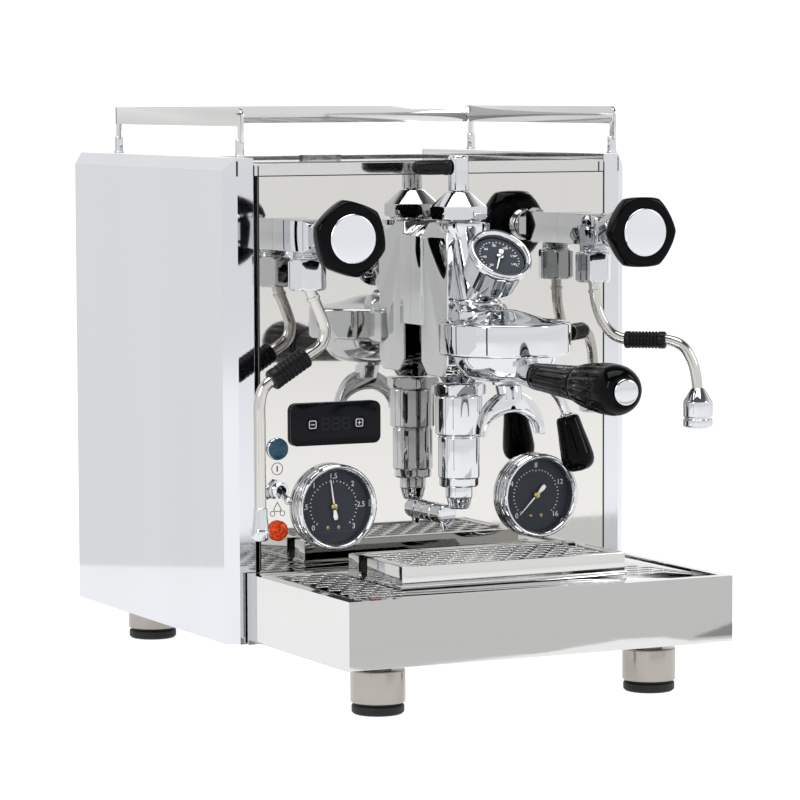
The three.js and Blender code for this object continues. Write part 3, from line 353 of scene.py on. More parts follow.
def lettering(text, size, x, y, z, thick):
    """Raised figures, facing +Z."""
    curve = bpy.data.curves.new("figures", "FONT")
    curve.body = text
    curve.size = size
    curve.align_x = "CENTER"
    curve.align_y = "CENTER"
    curve.extrude = thick / 2
    curve.resolution_u = 4
    return moved(from_curve(curve), x, y, z)


PATH_STEPS, TUBE_SIDES = 8, 28


def smooth_path(points):
    """Points along a centripetal Catmull-Rom curve through the given points."""
    pts = [Vector(p) for p in points]
    pts = [2 * pts[0] - pts[1], *pts, 2 * pts[-1] - pts[-2]]
    out = []
    for i in range(1, len(pts) - 2):
        p = pts[i - 1:i + 3]
        t = [0.0]
        for a, b in zip(p, p[1:]):
            t.append(t[-1] + (b - a).length ** 0.5)
        for k in range(PATH_STEPS):
            s = t[1] + (t[2] - t[1]) * k / PATH_STEPS
            a = [p[j] * ((t[j + 1] - s) / (t[j + 1] - t[j])) + p[j + 1] * ((s - t[j]) / (t[j + 1] - t[j]))
                 for j in range(3)]
            b = [a[j] * ((t[j + 2] - s) / (t[j + 2] - t[j])) + a[j + 1] * ((s - t[j]) / (t[j + 2] - t[j]))
                 for j in range(2)]
            out.append(b[0] * ((t[2] - s) / (t[2] - t[1])) + b[1] * ((s - t[1]) / (t[2] - t[1])))
    out.append(pts[-2])
    return out


def tube(points, radius):
    """A round bar along a smooth path."""
    path = smooth_path(points)
    bm = bmesh.new()
    side = Vector((0, 1, 0))
    rings = []
    for i, p in enumerate(path):
        along = (path[min(i + 1, len(path) - 1)] - path[max(i - 1, 0)]).normalized()
        side = (side - along * side.dot(along)).normalized()
        up = along.cross(side)
        rings.append([bm.verts.new(p + radius * (side * math.cos(a) + up * math.sin(a)))
                      for a in (k * TAU / TUBE_SIDES for k in range(TUBE_SIDES))])
    for low, high in zip(rings, rings[1:]):
        for i in range(TUBE_SIDES):
            j = (i + 1) % TUBE_SIDES
            bm.faces.new((low[i], low[j], high[j], high[i]))
    bm.faces.new(rings[0])
    bm.faces.new(rings[-1])
    bmesh.ops.recalc_face_normals(bm, faces=bm.faces)
    return bm


def changed(bm, matrix):
    bmesh.ops.transform(bm, matrix=matrix, verts=bm.verts)
    return bm


def moved(bm, x, y, z):
    return changed(bm, Matrix.Translation((x, y, z)))


def aimed(bm, start, direction):
    """Turns a piece made about +Z to point along the direction from the start point."""
    turn = Vector((0, 0, 1)).rotation_difference(Vector(direction)).to_matrix().to_4x4()
    return changed(bm, Matrix.Translation(start) @ turn)


def to_front(bm, x, y, z):
    """Turns a piece made about +Z so that its axis points to the front, -Y."""
    return changed(bm, Matrix.Translation((x, y, z)) @ Matrix.Rotation(math.pi / 2, 4, "X"))


def facing(parts, x, y, z):
    """(shape, material) pairs made about +Z, turned to the front at a point."""
    return [(to_front(bm, x, y, z), m) for bm, m in parts]


def shifted(parts, x, y, z):
    return [(moved(bm, x, y, z), m) for bm, m in parts]


def turned_by(bm, degrees):
    return changed(bm, Matrix.Rotation(math.radians(degrees), 4, "Z"))


def rod(start, end, radius, end_radius=None, sides=32):
    """A round bar between two points."""
    a, b = Vector(start), Vector(end)
    length = (b - a).length
    end_radius = radius if end_radius is None else end_radius
    profile = [(0, 0), (radius, 0), (end_radius, length), (0, length)]
    return aimed(lathe(profile, sides), a, b - a)


def joined(*parts):
    """Several shapes as one mesh."""
    whole = bmesh.new()
    for bm in parts:
        pour(whole, bm)
    return whole


def combined(first, added=(), removed=()):
    """One closed solid: the first shape with others joined on and then cut away."""
    base = linked("solid", to_mesh("solid", first))
    tools = []
    for operation, shapes in (("UNION", added), ("DIFFERENCE", removed)):
        for shape in shapes:
            tool = linked("solid", to_mesh("solid", shape))
            tools.append(tool)
            cut = base.modifiers.new("cut", "BOOLEAN")
            cut.operation = operation
            cut.solver = "EXACT"
            cut.object = tool
    bpy.context.view_layer.update()
    bm = evaluated(base)
    for o in [base, *tools]:
        spare = o.data
        bpy.data.objects.remove(o)
        bpy.data.meshes.remove(spare)
    return bm


def piece(name, parts, body, stands_for=(), smooth=33.0):
    """One object in the row frame from (shape, material) pairs, or a chrome shape, riding on a body."""
    if isinstance(parts, bmesh.types.BMesh):
        parts = [(parts, CHROME)]
    whole = bmesh.new()
    materials = []
    for bm, material in parts:
        if material not in materials:
            materials.append(material)
        for f in bm.faces:
            f.material_index = materials.index(material)
        pour(whole, bm)
    mesh = to_mesh(name, changed(whole, TO_ROW))
    for m in materials:
        mesh.materials.append(m)
    mesh.shade_smooth()
    mesh.set_sharp_from_angle(angle=math.radians(smooth))
    o = linked(name, mesh)
    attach(o, body)
    if stands_for:
        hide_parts(*stands_for)


# -------------------------------------------------------------------- camera
CAMERA_PLACE = (-1131.73, -2241.80, 398.52)
RIGHT = (0.896559, -0.442912, -0.003237)
UP = (0.039808, 0.073297, 0.996515)
BACK = (-0.441131, -0.893564, 0.083347)
camera = linked("camera", bpy.data.cameras.new("camera"))
camera.data.lens = 167.62
camera.data.sensor_width = 36
camera.data.clip_start = 0.05
camera.data.clip_end = 60
camera.matrix_world = (Matrix.Translation(row(*CAMERA_PLACE))
                       @ Matrix((RIGHT, UP, BACK)).transposed().to_4x4())
scene.camera = camera

# ------------------------------------------------------- housing, kept nodes
# Each CAD node that stays, its material, and the width of its softened edges.
KEPT = (("left_side_panel", SIDE, 0.35), ("right_side_panel", SIDE, 0.35), ("front_panel", MIRROR, 0),
        ("cup_tray", STEEL, 0.3), ("tank_lid", STEEL, 0.3), ("water_tank", TANK, 0.4),
        ("boiler", COPPER, 0), ("base_pan", STEEL, 0.25), ("back_panel", SIDE, 0.2),
        ("mains_inlet", GRIP_BLACK, 0.3), ("drip_tray", TRAY_STEEL, 0.35), ("shower_screen", STEEL, 0),
        ("filter_basket", STEEL, 0))
for name, material, bevel in KEPT:
    for s in nodes[name].material_slots:
        s.material = material
    if bevel:
        soft = nodes[name].modifiers.new("edges", "BEVEL")
        soft.width = bevel / MM
        soft.segments = 2
        soft.limit_method = "ANGLE"
        soft.angle_limit = math.radians(40)

# ------------------------------------------------------------------ cup rail
RAIL_X, RAIL_TOP, RAIL_BACK, RAIL_FOOT = 140.2, 386.0, 218.0, 363.0
RAIL_LOW = RAIL_TOP - 12
POST_FOOT, POST_HEIGHT = 353.6, 11.6


def rail_strip(side):
    """One side of the rail: a flat strip with a rounded front corner and two short legs."""
    outline = [(-1.5, RAIL_FOOT), (5, RAIL_FOOT), (5, RAIL_LOW - 1.2)]
    outline += [(5 + 1.2 * (1 - math.cos(a)), RAIL_LOW - 1.2 + 1.2 * math.sin(a))
                for a in (math.pi / 8 * k for k in range(1, 5))]
    outline += [(RAIL_BACK - 6.5, RAIL_LOW), (RAIL_BACK - 6.5, RAIL_FOOT), (RAIL_BACK, RAIL_FOOT),
                (RAIL_BACK, RAIL_TOP)]
    outline += [(4.5 + 6 * math.cos(a), RAIL_TOP - 6 + 6 * math.sin(a))
                for a in (math.pi / 2 * (1 + k / 8) for k in range(9))]
    bm = prism(outline, -1, 1, 0.25)
    stand = Matrix(((0, 0, 1, side * RAIL_X), (1, 0, 0, 0), (0, 1, 0, 0), (0, 0, 0, 1)))
    return changed(bm, stand)


rail = [(rail_strip(side), STEEL) for side in (-1, 1)]
rail.append((block(-RAIL_X - 1, RAIL_X + 1, RAIL_BACK - 2, RAIL_BACK, RAIL_LOW, RAIL_TOP, 0.25), STEEL))
for side in (-1, 1):
    for y in (3.6, RAIL_BACK - 3.3):
        for radius, height in ((3, POST_HEIGHT), (3.7, 1.4)):
            rail.append((moved(pin(radius, 0, height, 32, 0.3), side * RAIL_X, y, POST_FOOT), CHROME))
piece("cup_rail_strip", rail, "housing", ["cup_rail"])

# ---------------------------------------------------------------------- feet
# A pad, its waist, a steel sleeve and a neck: profile, sides, rounding and material.
FOOT = (([(0, 0), (15.4, 0), (17, 1.4), (17, 5.6), (15.4, 6.4), (0, 6.4)], 96, 0.5, RUBBER),
        ([(0, 6.2), (15.2, 6.2), (15.2, 7.6), (0, 7.6)], 96, 0, RUBBER),
        ([(0, 7.4), (17.0, 7.4), (17.75, 8.2), (17.75, 28.2), (17, 29), (0, 29)], 96, 0.4, WARM_STEEL),
        ([(0, 29), (9, 29), (9, 31), (0, 31)], 48, 0, DULL_STEEL))
for where, y in (("front", -118.5), ("rear", 257)):
    for side, x in (("left", -100), ("right", 100)):
        parts = [(lathe(profile, sides, round_by=by), m) for profile, sides, by, m in FOOT]
        piece(f"{where}_{side}_foot_turned", shifted(parts, x, y, 0), "housing", [f"{where}_{side}_foot"])

# ------------------------------------------------------------- panel gauges
GAUGE_Z = 120.4
STAND = 9.2


def needle(length, tail, turn, brass):
    """A needle about +Z with a white tail and a brass hub; at turn 0 it points up."""
    hand = prism([(-0.62, 0), (0.62, 0), (0.24, length), (-0.24, length)], 0, 0.5, 0.08)
    spade = prism([(-0.5, 0), (-1.7, -tail * 0.75), (-1.1, -tail), (1.1, -tail), (1.7, -tail * 0.75),
                   (0.5, 0)], 0, 0.55, 0.1)
    hub = lathe([(0, -1.5), (1.2, -1.5), (1.2, 0), (2.4, 0), (2.4, 0.9), (1.4, 1.4), (0, 1.5)], 40,
                round_by=0.2)
    dot = lathe([(0, 1.3), (0.7, 1.4), (0.7, 1.8), (0, 1.9)], 20, round_by=0.1)
    return [(turned_by(hand, turn), NEEDLE), (turned_by(spade, turn), NEEDLE), (hub, brass), (dot, brass)]


def dial_face(radius, thickness, marks, labels, mark_radius, label_radius, size, sweep=133.0):
    """A dial with dots round its scale, longer marks at the figures, and the figures."""
    disc = lathe([(1.6, 0), (radius, 0), (radius, thickness), (1.6, thickness)], 96, closed=True)
    parts = [(disc, DIAL)]
    steps = marks * (len(labels) - 1)
    for i in range(steps + 1):
        a = math.radians(90 + sweep - 2 * sweep * i / steps)
        major = i % marks == 0
        reach, start, wide = (1.5, 0.0, 0.2) if major else (0.62, 0.3, 0.28)
        tick = turned_by(block(-reach, start, -wide, wide, 0, 0.08, 0), math.degrees(a))
        parts.append((moved(tick, mark_radius * math.cos(a), mark_radius * math.sin(a), thickness), PRINT))
    for i, label in enumerate(labels):
        a = math.radians(90 + sweep - 2 * sweep * i / (len(labels) - 1))
        figure = lettering(label, size, label_radius * math.cos(a), label_radius * math.sin(a),
                           thickness + 0.04, 0.08)
        parts.append((figure, PRINT))
    return parts


GAUGES = [("boiler", -76.8, 8, 5, ["0", ",5", "1", "1,5", "2", "2,5", "3"]),
          ("pump", 76.8, 135, 8, ["0", "4", "8", "12", "16"])]
for name, x, turn, marks, labels in GAUGES:
    r, d = 28.9, 24.6
    bezel = lathe([(d + 0.1, -14), (d + 0.1, -0.8), (d + 0.1, STAND - 2.2), (d + 1.3, STAND - 0.5),
                   (d + 2.2, STAND), (r - 1.4, STAND), (r, STAND - 1.6), (r, 4.9), (r - 0.9, 4.2),
                   (r - 0.9, 3.7), (r, 3), (r, 0.3), (d + 1.2, 0.3), (d + 1.2, -14)], 128,
                  round_by=0.5, closed=True)
    back = pin(d + 0.2, -16, -13.9, 64, 0.4)
    cup = pin(d + 0.15, -1.4, -1, 64)
    parts = facing([(bezel, CHROME), (joined(back, cup), DULL_STEEL)], x, PANEL_FRONT, GAUGE_Z)
    piece(f"{name}_gauge_bezel", parts, "housing", [f"{name}_gauge_case"])
    face = dial_face(d, 1.2, marks, labels, 17.3, 20.4, 5.0)
    for dx in (-4, 4):
        screw = lathe([(0, 0), (1.25, 0), (1.25, 0.35), (0.8, 0.7), (0, 0.75)], 24)
        notch = turned_by(block(-1.0, 1.0, -0.14, 0.14, 0.6, 0.8, 0), 35)
        face += shifted([(screw, BRASS), (notch, KEY_BLACK)], dx, -14.2, 1.1)
    if name == "boiler":
        face.append((block(-18.4, 18.4, -16.9, -16.7, 1.2, 1.26, 0), ICON))
    piece(f"{name}_gauge_face", facing(face, x, PANEL_FRONT + 0.6, GAUGE_Z), "housing",
          [f"{name}_gauge_dial"])
    hand = facing(needle(18.5, 9, turn, BRASS), x, PANEL_FRONT - 1.8, GAUGE_Z)
    piece(f"{name}_gauge_hand", hand, f"{name}_pointer", [f"{name}_gauge_needle"])

TILT = Matrix.Translation((0, -98.6, 291)) @ Matrix.Rotation(math.radians(45), 4, "X")
case = lathe([(0, -34), (5, -34), (5, -25.9), (8.6, -25.9), (8.6, -24.6), (17, -24.2), (18.2, -22.6),
              (19.3, -4.5), (21.3, -4.3), (21.3, -1.8), (20.7, -1.2), (21.3, -0.6), (21.3, 0.2),
              (20.3, 1.3), (19.2, 1.3), (17.6, -0.6), (17.4, -4.5), (0, -4.5)], 112, round_by=0.45)
piece("group_gauge_shell", changed(case, TILT), "housing", ["group_gauge_case"])
face = dial_face(16.9, 1, 4, ["20", "40", "60", "80", "100", "120", "140"], 13.6, 10.4, 2.7, 128.0)
face = [(changed(bm, TILT), m) for bm, m in shifted(face, 0, 0, -4.3)]
piece("group_gauge_face", face, "housing", ["group_gauge_dial"])
hand = [(changed(bm, TILT), m) for bm, m in shifted(needle(13, 6.5, 150, CHROME), 0, 0, -2.2)]
piece("group_gauge_hand", hand, "group_pointer", ["group_gauge_needle"])

# ------------------------------------------------------------ panel controls
LAMP_X, POWER_Z, TOGGLE_Z, HEAT_Z = -117.6, 160.8, 133.6, 106.4
x0, x1, z0, z1 = -108.7, -42.6, 162.0, 190.5
slab = prism(rounded_box(x0, x1, z0, z1, 5.0, 8), 0.3, 3.3, 0.7, 4)
boss = prism(rounded_box(x0 + 4.4, x1 - 4.4, z0 + 4.4, z1 - 4.4, 1), -7.2, 0.6, 0)
KEYS = (("minus", -93.2), ("plus", -58.8))
KEY_Z = 176.2
wells = [moved(pin(4.6, 1.0, 5, 48), x, KEY_Z, 0) for _, x in KEYS]
parts = [(combined(slab, [boss], wells), SCREEN)]
# Three unlit figures of seven segments: place about the figure's centre, and half width and height.
SEGMENTS = ((0, 3.6, 2.2, 0.35), (0, 0, 2.2, 0.35), (0, -3.6, 2.2, 0.35), (-2.6, 1.8, 0.35, 1.4),
            (2.6, 1.8, 0.35, 1.4), (-2.6, -1.8, 0.35, 1.4), (2.6, -1.8, 0.35, 1.4))
FIGURES_X, FIGURE_PITCH = -76, 7.6
for k in (-1, 0, 1):
    for dx, dz, w, h in SEGMENTS:
        x, z = FIGURES_X + k * FIGURE_PITCH + dx, KEY_Z + dz
        parts.append((block(x - w, x + w, z - h, z + h, 3.28, 3.33, 0), SEGMENT))
piece("display_screen", facing(parts, 0, PANEL_FRONT, 0), "housing", ["display"])
for name, x in KEYS:
    cap = lathe([(0, 0), (4.2, 0), (4.2, 1.1), (3.7, 1.5), (0, 1.5)], 48, round_by=0.2)
    frame_ring = plate(rounded_box(-2.7, 2.7, -2.7, 2.7, 1.0), [rounded_box(-2.25, 2.25, -2.25, 2.25, 0.7)],
                       1.46, 1.62, 0.02)
    parts = [(cap, KEY_BLACK), (frame_ring, PRINT), (block(-1.3, 1.3, -0.25, 0.25, 1.45, 1.6, 0), PRINT)]
    if name == "plus":
        parts.append((block(-0.25, 0.25, -1.3, 1.3, 1.45, 1.6, 0), PRINT))
    piece(f"{name}_key_cap", facing(parts, x, -5.6, KEY_Z), name, [f"{name}_key"])

collar = lathe([(0, 0.3), (7.4, 0.3), (7.4, 1.1), (6.9, 1.7), (0, 1.7)], 64, round_by=0.2)
dome = lathe([(0, 1.6), (7.1, 1.6), (7.1, 2.5), (6.3, 3.9), (4, 4.75), (0, 5)], 64, round_by=0.5)
lamp = [(pin(5.4, -8, 0.3, 48), DULL_STEEL), (collar, CHROME), (dome, TEAL)]
piece("power_lamp_lens", facing(lamp, LAMP_X, PANEL_FRONT, POWER_Z), "housing", ["power_lamp"])
base = pin(7, 0.3, 1.9, 12)
crown = lathe([(0, 1.9), (6.9, 1.9), (6.1, 3.9), (3.9, 4.9), (0, 4.6)], 12, turn=TAU / 24)
lamp = [(pin(5.4, -8, 0.3, 48), DULL_STEEL), (bevelled(base, 0.15), ORANGE), (bevelled(crown, 0.12), ORANGE)]
piece("heat_lamp_lens", facing(lamp, LAMP_X, PANEL_FRONT, HEAT_Z), "housing", ["heat_lamp"],
      12)

thread = [(3.9, -10), (3.9, 0.3), (6.4, 0.3), (6.4, 1.2), (5.6, 1.9)]
for k in range(6):
    thread += [(5.4, 2.1 + k * 0.7), (5.0, 2.45 + k * 0.7)]
thread += [(5.3, 6.3), (4.9, 6.8), (3.6, 6.8), (2.6, 1.2), (1.9, 1), (1.9, -10)]
bush = lathe(thread, 48, closed=True)
hexagon = lathe([(4.6, 1.9), (7, 1.9), (7.4, 2.4), (7.4, 3.5), (7, 4), (4.6, 4)], 72, (6, 12.8), 0.3,
                closed=True)
plug = pin(2.7, 0.2, 0.6, 32)
bushing = facing([(bush, CHROME), (plug, KEY_BLACK), (hexagon, CHROME)], LAMP_X, PANEL_FRONT, TOGGLE_Z)
piece("toggle_bush", bushing, "housing", ["toggle_bushing"])
bat = lathe([(0, -1.4), (1.3, -0.9), (1.6, 0.4), (1.5, 6), (2.2, 12), (2.7, 15.2), (2.2, 17.2),
             (0, 18)], 40, round_by=0.5)
bat = changed(bat, Matrix.Translation((LAMP_X, PANEL_FRONT - 3.4, TOGGLE_Z))
              @ Matrix.Rotation(math.radians(22), 4, "X") @ Matrix.Rotation(math.pi / 2, 4, "X"))
piece("toggle_bat", bat, "toggle", ["toggle_lever"])

# Printed signs: power (a bar in a circle) and steam (a drop over two rings).
ring = plate(circle(4.2, sides=48), [circle(3.7, sides=48)], 0, 0.1, 0.02)
bar = prism(rounded_box(-0.5, 0.5, -2, 2, 0.4, 4), 0, 0.1, 0)
signs = facing([(ring, ICON), (bar, ICON)], LAMP_X, PANEL_FRONT - 0.01, 147.6)
outer = [(0, 5.4), (3.0, 0.2), (2.2, -1.2), (0, -1.6), (-2.2, -1.2), (-3.0, 0.2)]
inner = [(0, 4.4), (2.4, 0.2), (1.8, -0.8), (0, -1.1), (-1.8, -0.8), (-2.4, 0.2)]
steam = [(plate(outer, [inner], 0, 0.1, 0.02), ICON)]
for side in (-1, 1):
    loop = plate(circle(1.9, sides=32), [circle(1.45, sides=32)], 0, 0.1, 0.02)
    steam.append((moved(loop, side * 3.6, -2.6, 0), ICON))
signs += facing(steam, LAMP_X, PANEL_FRONT - 0.01, 120.4)
piece("panel_signs", signs, "housing", ())

# -------------------------------------------------------------------- valves
VALVE_Z, VALVE_FRONT, WAND_Y = 303.0, -53.0, -30.0
KNOB_BACK, KNOB_FRONT = -82.0, -100.0
DEPTH = KNOB_BACK - KNOB_FRONT


def valve_body(x):
    """The valve's bar with its packing nut, ringed bush, spindle and ribbed boss for the wand."""
    bar = hull(corners(-12.87, 12.87, VALVE_FRONT + 3.5, 6, VALVE_Z - 10.37, VALVE_Z + 10.37)
               + corners(-10.6, 10.6, VALVE_FRONT - 1.5, 0, VALVE_Z - 8.2, VALVE_Z + 8.2), 0.55, 3)
    packing = lathe([(0, 0), (11.4, 0), (12.1, 1.2), (12.1, 10.8), (10.9, 12.6), (0, 12.6)], 72, (6, 21),
                    round_by=0.3)
    rings = [(0, 0), (9.2, 0), (9.2, 4), (10.2, 4.6), (10.2, 7), (9.5, 7.6), (9.5, 9), (11, 12), (11, 15.4),
             (0, 15.4)]
    spindle = pin(3.4, 0, 11, 32)
    ribs = [(0, VALVE_Z - 5)]
    for k in range(4):
        ribs += [(9.6, VALVE_Z - 9.2 - k * 1.5), (9.0, VALVE_Z - 9.8 - k * 1.5)]
    ribs += [(9.6, VALVE_Z - 15.4), (0, VALVE_Z - 15.4)]
    bore = pin(2.4, 284, 301, 24)
    whole = combined(bar, [to_front(packing, 0, VALVE_FRONT - 0.4, VALVE_Z),
                           to_front(lathe(rings, 72, round_by=0.4), 0, -65.2, VALVE_Z),
                           to_front(spindle, 0, KNOB_BACK + 3, VALVE_Z),
                           moved(lathe(ribs, 64), 0, WAND_Y, 0)], [moved(bore, 0, WAND_Y, 0)])
    return moved(whole, x, 0, 0)


def knob(turn):
    """A six-sided knob: domed behind, its front edge rounded, with a seat for the cap."""
    r = 26.2
    back = [(0, 0), (8, 0), (13, 0.3), (18, 1.7), (22, 4.4), (r - 1.2, 8.2), (r, 10.4)]
    front = [(r, DEPTH - 3.6), (r - 1, DEPTH - 1.8), (r - 2.6, DEPTH - 0.5), (r - 4.4, DEPTH),
             (16.4, DEPTH), (16.4, DEPTH - 1), (0, DEPTH - 1)]
    return lathe(back + front, 144, (6, 47.4), turn, 0.8, soften=14)


def union_nut(x):
    hexagon = lathe([(7.7, 267), (11.2, 267), (12.9, 268.6), (12.9, 285.8), (11.4, 287.3), (8.9, 287.3),
                     (8.9, 272), (7.7, 269)], 72, (6, 22.6), 0.35, 0.35, closed=True)
    return moved(hexagon, x, WAND_Y, 0)


def grip_sleeve(start, end, inner, outer, ribs):
    """A ribbed sleeve between two points."""
    a, b = Vector(start), Vector(end)
    length = (b - a).length
    profile = [(inner, 0), (outer - 0.9, 0), (outer, 1), (outer, 2.6)]
    pitch = (length - 8) / ribs
    for k in range(ribs):
        z = 4 + k * pitch
        profile += [(outer, z), (outer - 0.75, z + 0.35), (outer - 0.75, z + pitch * 0.36),
                    (outer, z + pitch * 0.5)]
    profile += [(outer, length - 2.6), (outer, length - 1), (outer - 0.9, length), (inner, length)]
    return aimed(lathe(profile, 56, round_by=0.3, closed=True), a, b - a)


BALL = [(0, 269.2), (4, 269.9), (7, 272.8), (8.4, 276.6), (8, 280.5), (6, 283.6), (2.2, 285.4), (0, 285.4)]
STEAM_PATH = [(0, -30, 276), (2.6, -30, 266), (5.8, -30.2, 258), (9.4, -30.5, 249.6), (12.2, -30.7, 240),
              (9.6, -30.8, 231.4), (0.2, -30.8, 224.8), (-12, -30.8, 217.2), (-24.6, -30.8, 209.8),
              (-32, -30.8, 204), (-35, -30.8, 195), (-35.2, -30.8, 180), (-35.2, -30.8, 152),
              (-35, -30.8, 121)]
STEAM_TIP = [(0, 109), (1.1, 109), (1.1, 103.8), (4.0, 103.8), (6.3, 106), (6.3, 110.4), (5.6, 111.6),
             (4.6, 120.6), (4.6, 125), (3.6, 126), (0, 126)]
WATER_PATH = [(0, -30, 276), (0.6, -30.2, 262), (2, -31.4, 250), (5, -33.6, 240.6), (10.6, -38.2, 231.6),
              (18, -44.2, 228), (29, -53.4, 227.8), (40, -62.7, 227.8), (47.6, -69, 223.8),
              (52.4, -73, 214), (54.6, -74.8, 203), (55.4, -75.6, 190)]
WATER_TIP = [(0, 182), (6.4, 182), (6.4, 168.5), (8.2, 168.5), (10.2, 170), (10.2, 174.4), (9.6, 174.9),
             (9.6, 176), (10.2, 176.5), (10.2, 186.4), (9.2, 188.2), (5, 195), (3.9, 196), (0, 196)]


def wand(path, radius, tip, foot, collars):
    """A bent tube with its ball, end piece and small collars."""
    parts = [(tube(path, radius), TUBE), (moved(lathe(BALL, 48, round_by=1.2), 0, WAND_Y, 0), TUBE),
             (moved(lathe(tip, 64, round_by=0.5), *foot), CHROME)]
    smooth = smooth_path(path)
    for i in collars:
        a, b = smooth[i], smooth[i + 1]
        parts.append((aimed(pin(radius + 0.7, 0, 2.4, 40, 0.4), a, b - a), TUBE))
    return parts


VALVES = (
    ("steam", -107.2, 0.21, wand(STEAM_PATH, 3.9, STEAM_TIP, (-35, -30.8, 0), (11,)),
     grip_sleeve((-1.6, -30.8, 223.7), (-26.6, -30.8, 208.4), 4.0, 7.1, 7)),
    ("water", 107.2, 0.53, wand(WATER_PATH, 3.7, WATER_TIP, (55.4, -75.6, 0), (8,)),
     grip_sleeve((17, -43.4, 227.9), (38.8, -61.7, 227.9), 3.8, 5.9, 9)),
)
for name, x, turn, wand_parts, sleeve in VALVES:
    piece(f"{name}_valve_block", valve_body(x), "housing", [f"{name}_valve_body"])
    piece(f"{name}_knob_grip", facing([(knob(turn), GLOSS_BLACK)], x, KNOB_BACK, VALVE_Z),
          f"{name}_control", [f"{name}_knob"], 50)
    cap = lathe([(0, 0), (16, 0), (16, 1.2), (15.2, 1.9), (13.5, 2.05), (0, 2.2)], 112, round_by=0.35)
    piece(f"{name}_knob_disc", facing([(cap, BRIGHT_CAP)], x, KNOB_FRONT + 0.7, VALVE_Z),
          f"{name}_control", [f"{name}_knob_cap"])
    piece(f"{name}_union_nut_turned", union_nut(x), "housing", [f"{name}_union_nut"])
    piece(f"{name}_wand_tube", shifted(wand_parts, x, 0, 0), f"{name}_arm", [f"{name}_wand"])
    piece(f"{name}_wand_sleeve", [(moved(sleeve, x, 0, 0), GRIP_BLACK)], f"{name}_arm", [f"{name}_grip"])

# ---------------------------------------------------------------- brew group
COLUMN_Y, BELL_Y = -38.0, -104.0


def disc(radius, z, y=0.0, ry=None, sides=72):
    """Points round a level disc, for a hull."""
    return [(u, v, z) for u, v in circle(radius, 0, y, sides, ry)]


mount = block(-18.67, 18.67, -19, 6, 240.63, 300.37, 0.5, 3)
shoulder = hull(corners(-18.3, 18.3, -19, -3.7, 298, 300) + corners(-8, 8, -19, -3.7, 306, 307), 0.5)
cheeks = hull(corners(-17.3, 17.3, -55, -16, 216, 300) + corners(-17.3, 17.3, -49, -25, 207.6, 212)
              + corners(-14, 14, -52, -22, 300, 309.6), 1.2, 4)
lower = lathe([(0, 203), (10.5, 203), (16.5, 212), (16.5, 216), (0, 216)], 72, round_by=0.8)
column = hull(disc(17.6, 309.6, -45, 17.4) + disc(17.6, 306, -45, 17.4) + disc(13, 298, -48), 0)
neck = hull(disc(13, 300, -48) + disc(12.4, 247, -67, 13), 0)
neck_ring = lathe([(0, 256.4), (15.4, 256.4), (16, 257.4), (15.4, 259), (13, 260.6), (0, 260.6)], 72,
                  round_by=0.6)
arm = hull(corners(-20, 20, -80, -46, 228, 246.6) + corners(-17, 17, -80, -49, 224.4, 230), 1.4, 4)
saddle = lathe([(0, 246), (19.2, 246), (19.2, 252), (16.2, 257.2), (0, 257.4)], 80, (10, 37.4), round_by=1.4)
R = 43.0  # the bell's radius
bell = lathe([(0, 227.4), (40, 226.2), (41.6, 225.8), (R, 227.2), (R, 246.2), (R - 1, 247.3), (34, 248.3),
              (27, 249.2), (20, 250.9), (12, 253.7), (6, 255.1), (0, 255.3)], 144, round_by=1.0)
boss = changed(lathe([(0, -52), (11, -52), (9.6, -34), (9.2, -26.4), (0, -26.4)], 56, round_by=0.6), TILT)
mouth = lathe([(0, 220), (34.6, 220), (34.6, 229.4), (37, 229.4), (37, 237.4), (31, 239), (31, 243.5),
               (0, 243.5)], 96)
# The two gaps in the bell's lip that let the portafilter's lugs in.
LUG_RADIUS, LUG_HALF = 37, 13
reach = math.asin(LUG_HALF / LUG_RADIUS)
lug_plan = [(LUG_RADIUS * math.cos(a), LUG_RADIUS * math.sin(a)) for a in
            [side + reach * (k / 6 - 1) for side in (0, math.pi) for k in range(13)]]
entry = turned_by(prism(lug_plan, 220, 230, 0), -45)
port = changed(pin(5.4, -40, -20, 32), TILT)
top_bore = pin(7, 296, 312, 32)
casting = combined(mount, [shoulder, cheeks, moved(lower, 0, COLUMN_Y, 0), column, neck,
                           moved(neck_ring, 0, -65, 0), arm, moved(saddle, 0, -69.5, 0),
                           moved(bell, 0, BELL_Y, 0), boss],
                   [moved(mouth, 0, BELL_Y, 0), moved(entry, 0, BELL_Y, 0), port,
                    moved(top_bore, 0, COLUMN_Y, 0)])
piece("group_head", casting, "housing", ["group_casting"], smooth=30)

cap_nut = lathe([(3.8, 309.9), (14.8, 309.9), (15.2, 311.4), (18.2, 312), (19, 313), (19, 320.2),
                 (9.4, 328.6), (8.2, 329.9), (3.8, 330)], 72, (6, 33), 0.06, 0.5, closed=True)
stub = lathe([(3.8, 300), (6.6, 300), (6.6, 310.4), (3.8, 310.4)], 40, closed=True)
piece("group_cap", moved(joined(cap_nut, stub), 0, COLUMN_Y, 0), "housing", ["group_cap_nut"], smooth=24)
post = lathe([(0, 302), (3.2, 302), (3.2, 330.3), (6.2, 330.3), (6.8, 331), (6.8, 352.6), (6, 354),
              (0, 354)], 56, round_by=0.5)
eye = aimed(pin(2.5, 0, 9, 32), (0, 0, 346.4), (-1, 0, 0))
piece("flow_spindle", moved(combined(post, [], [eye]), 0, COLUMN_Y, 0), "flow_control", ["flow_post"])
paddle = lathe([(0, 7.4), (5.1, 7.4), (5.3, 8.4), (5.3, 10), (4.9, 11), (5.0, 22), (4.6, 30), (3.4, 33.2),
                (0, 34)], 56, round_by=0.7)
shank = pin(2.1, 0.4, 8, 28)
handle = [(aimed(bm, (0, COLUMN_Y, 346.4), (-1, 0, 0)), m)
          for bm, m in ((paddle, GRIP_BLACK), (shank, CHROME))]
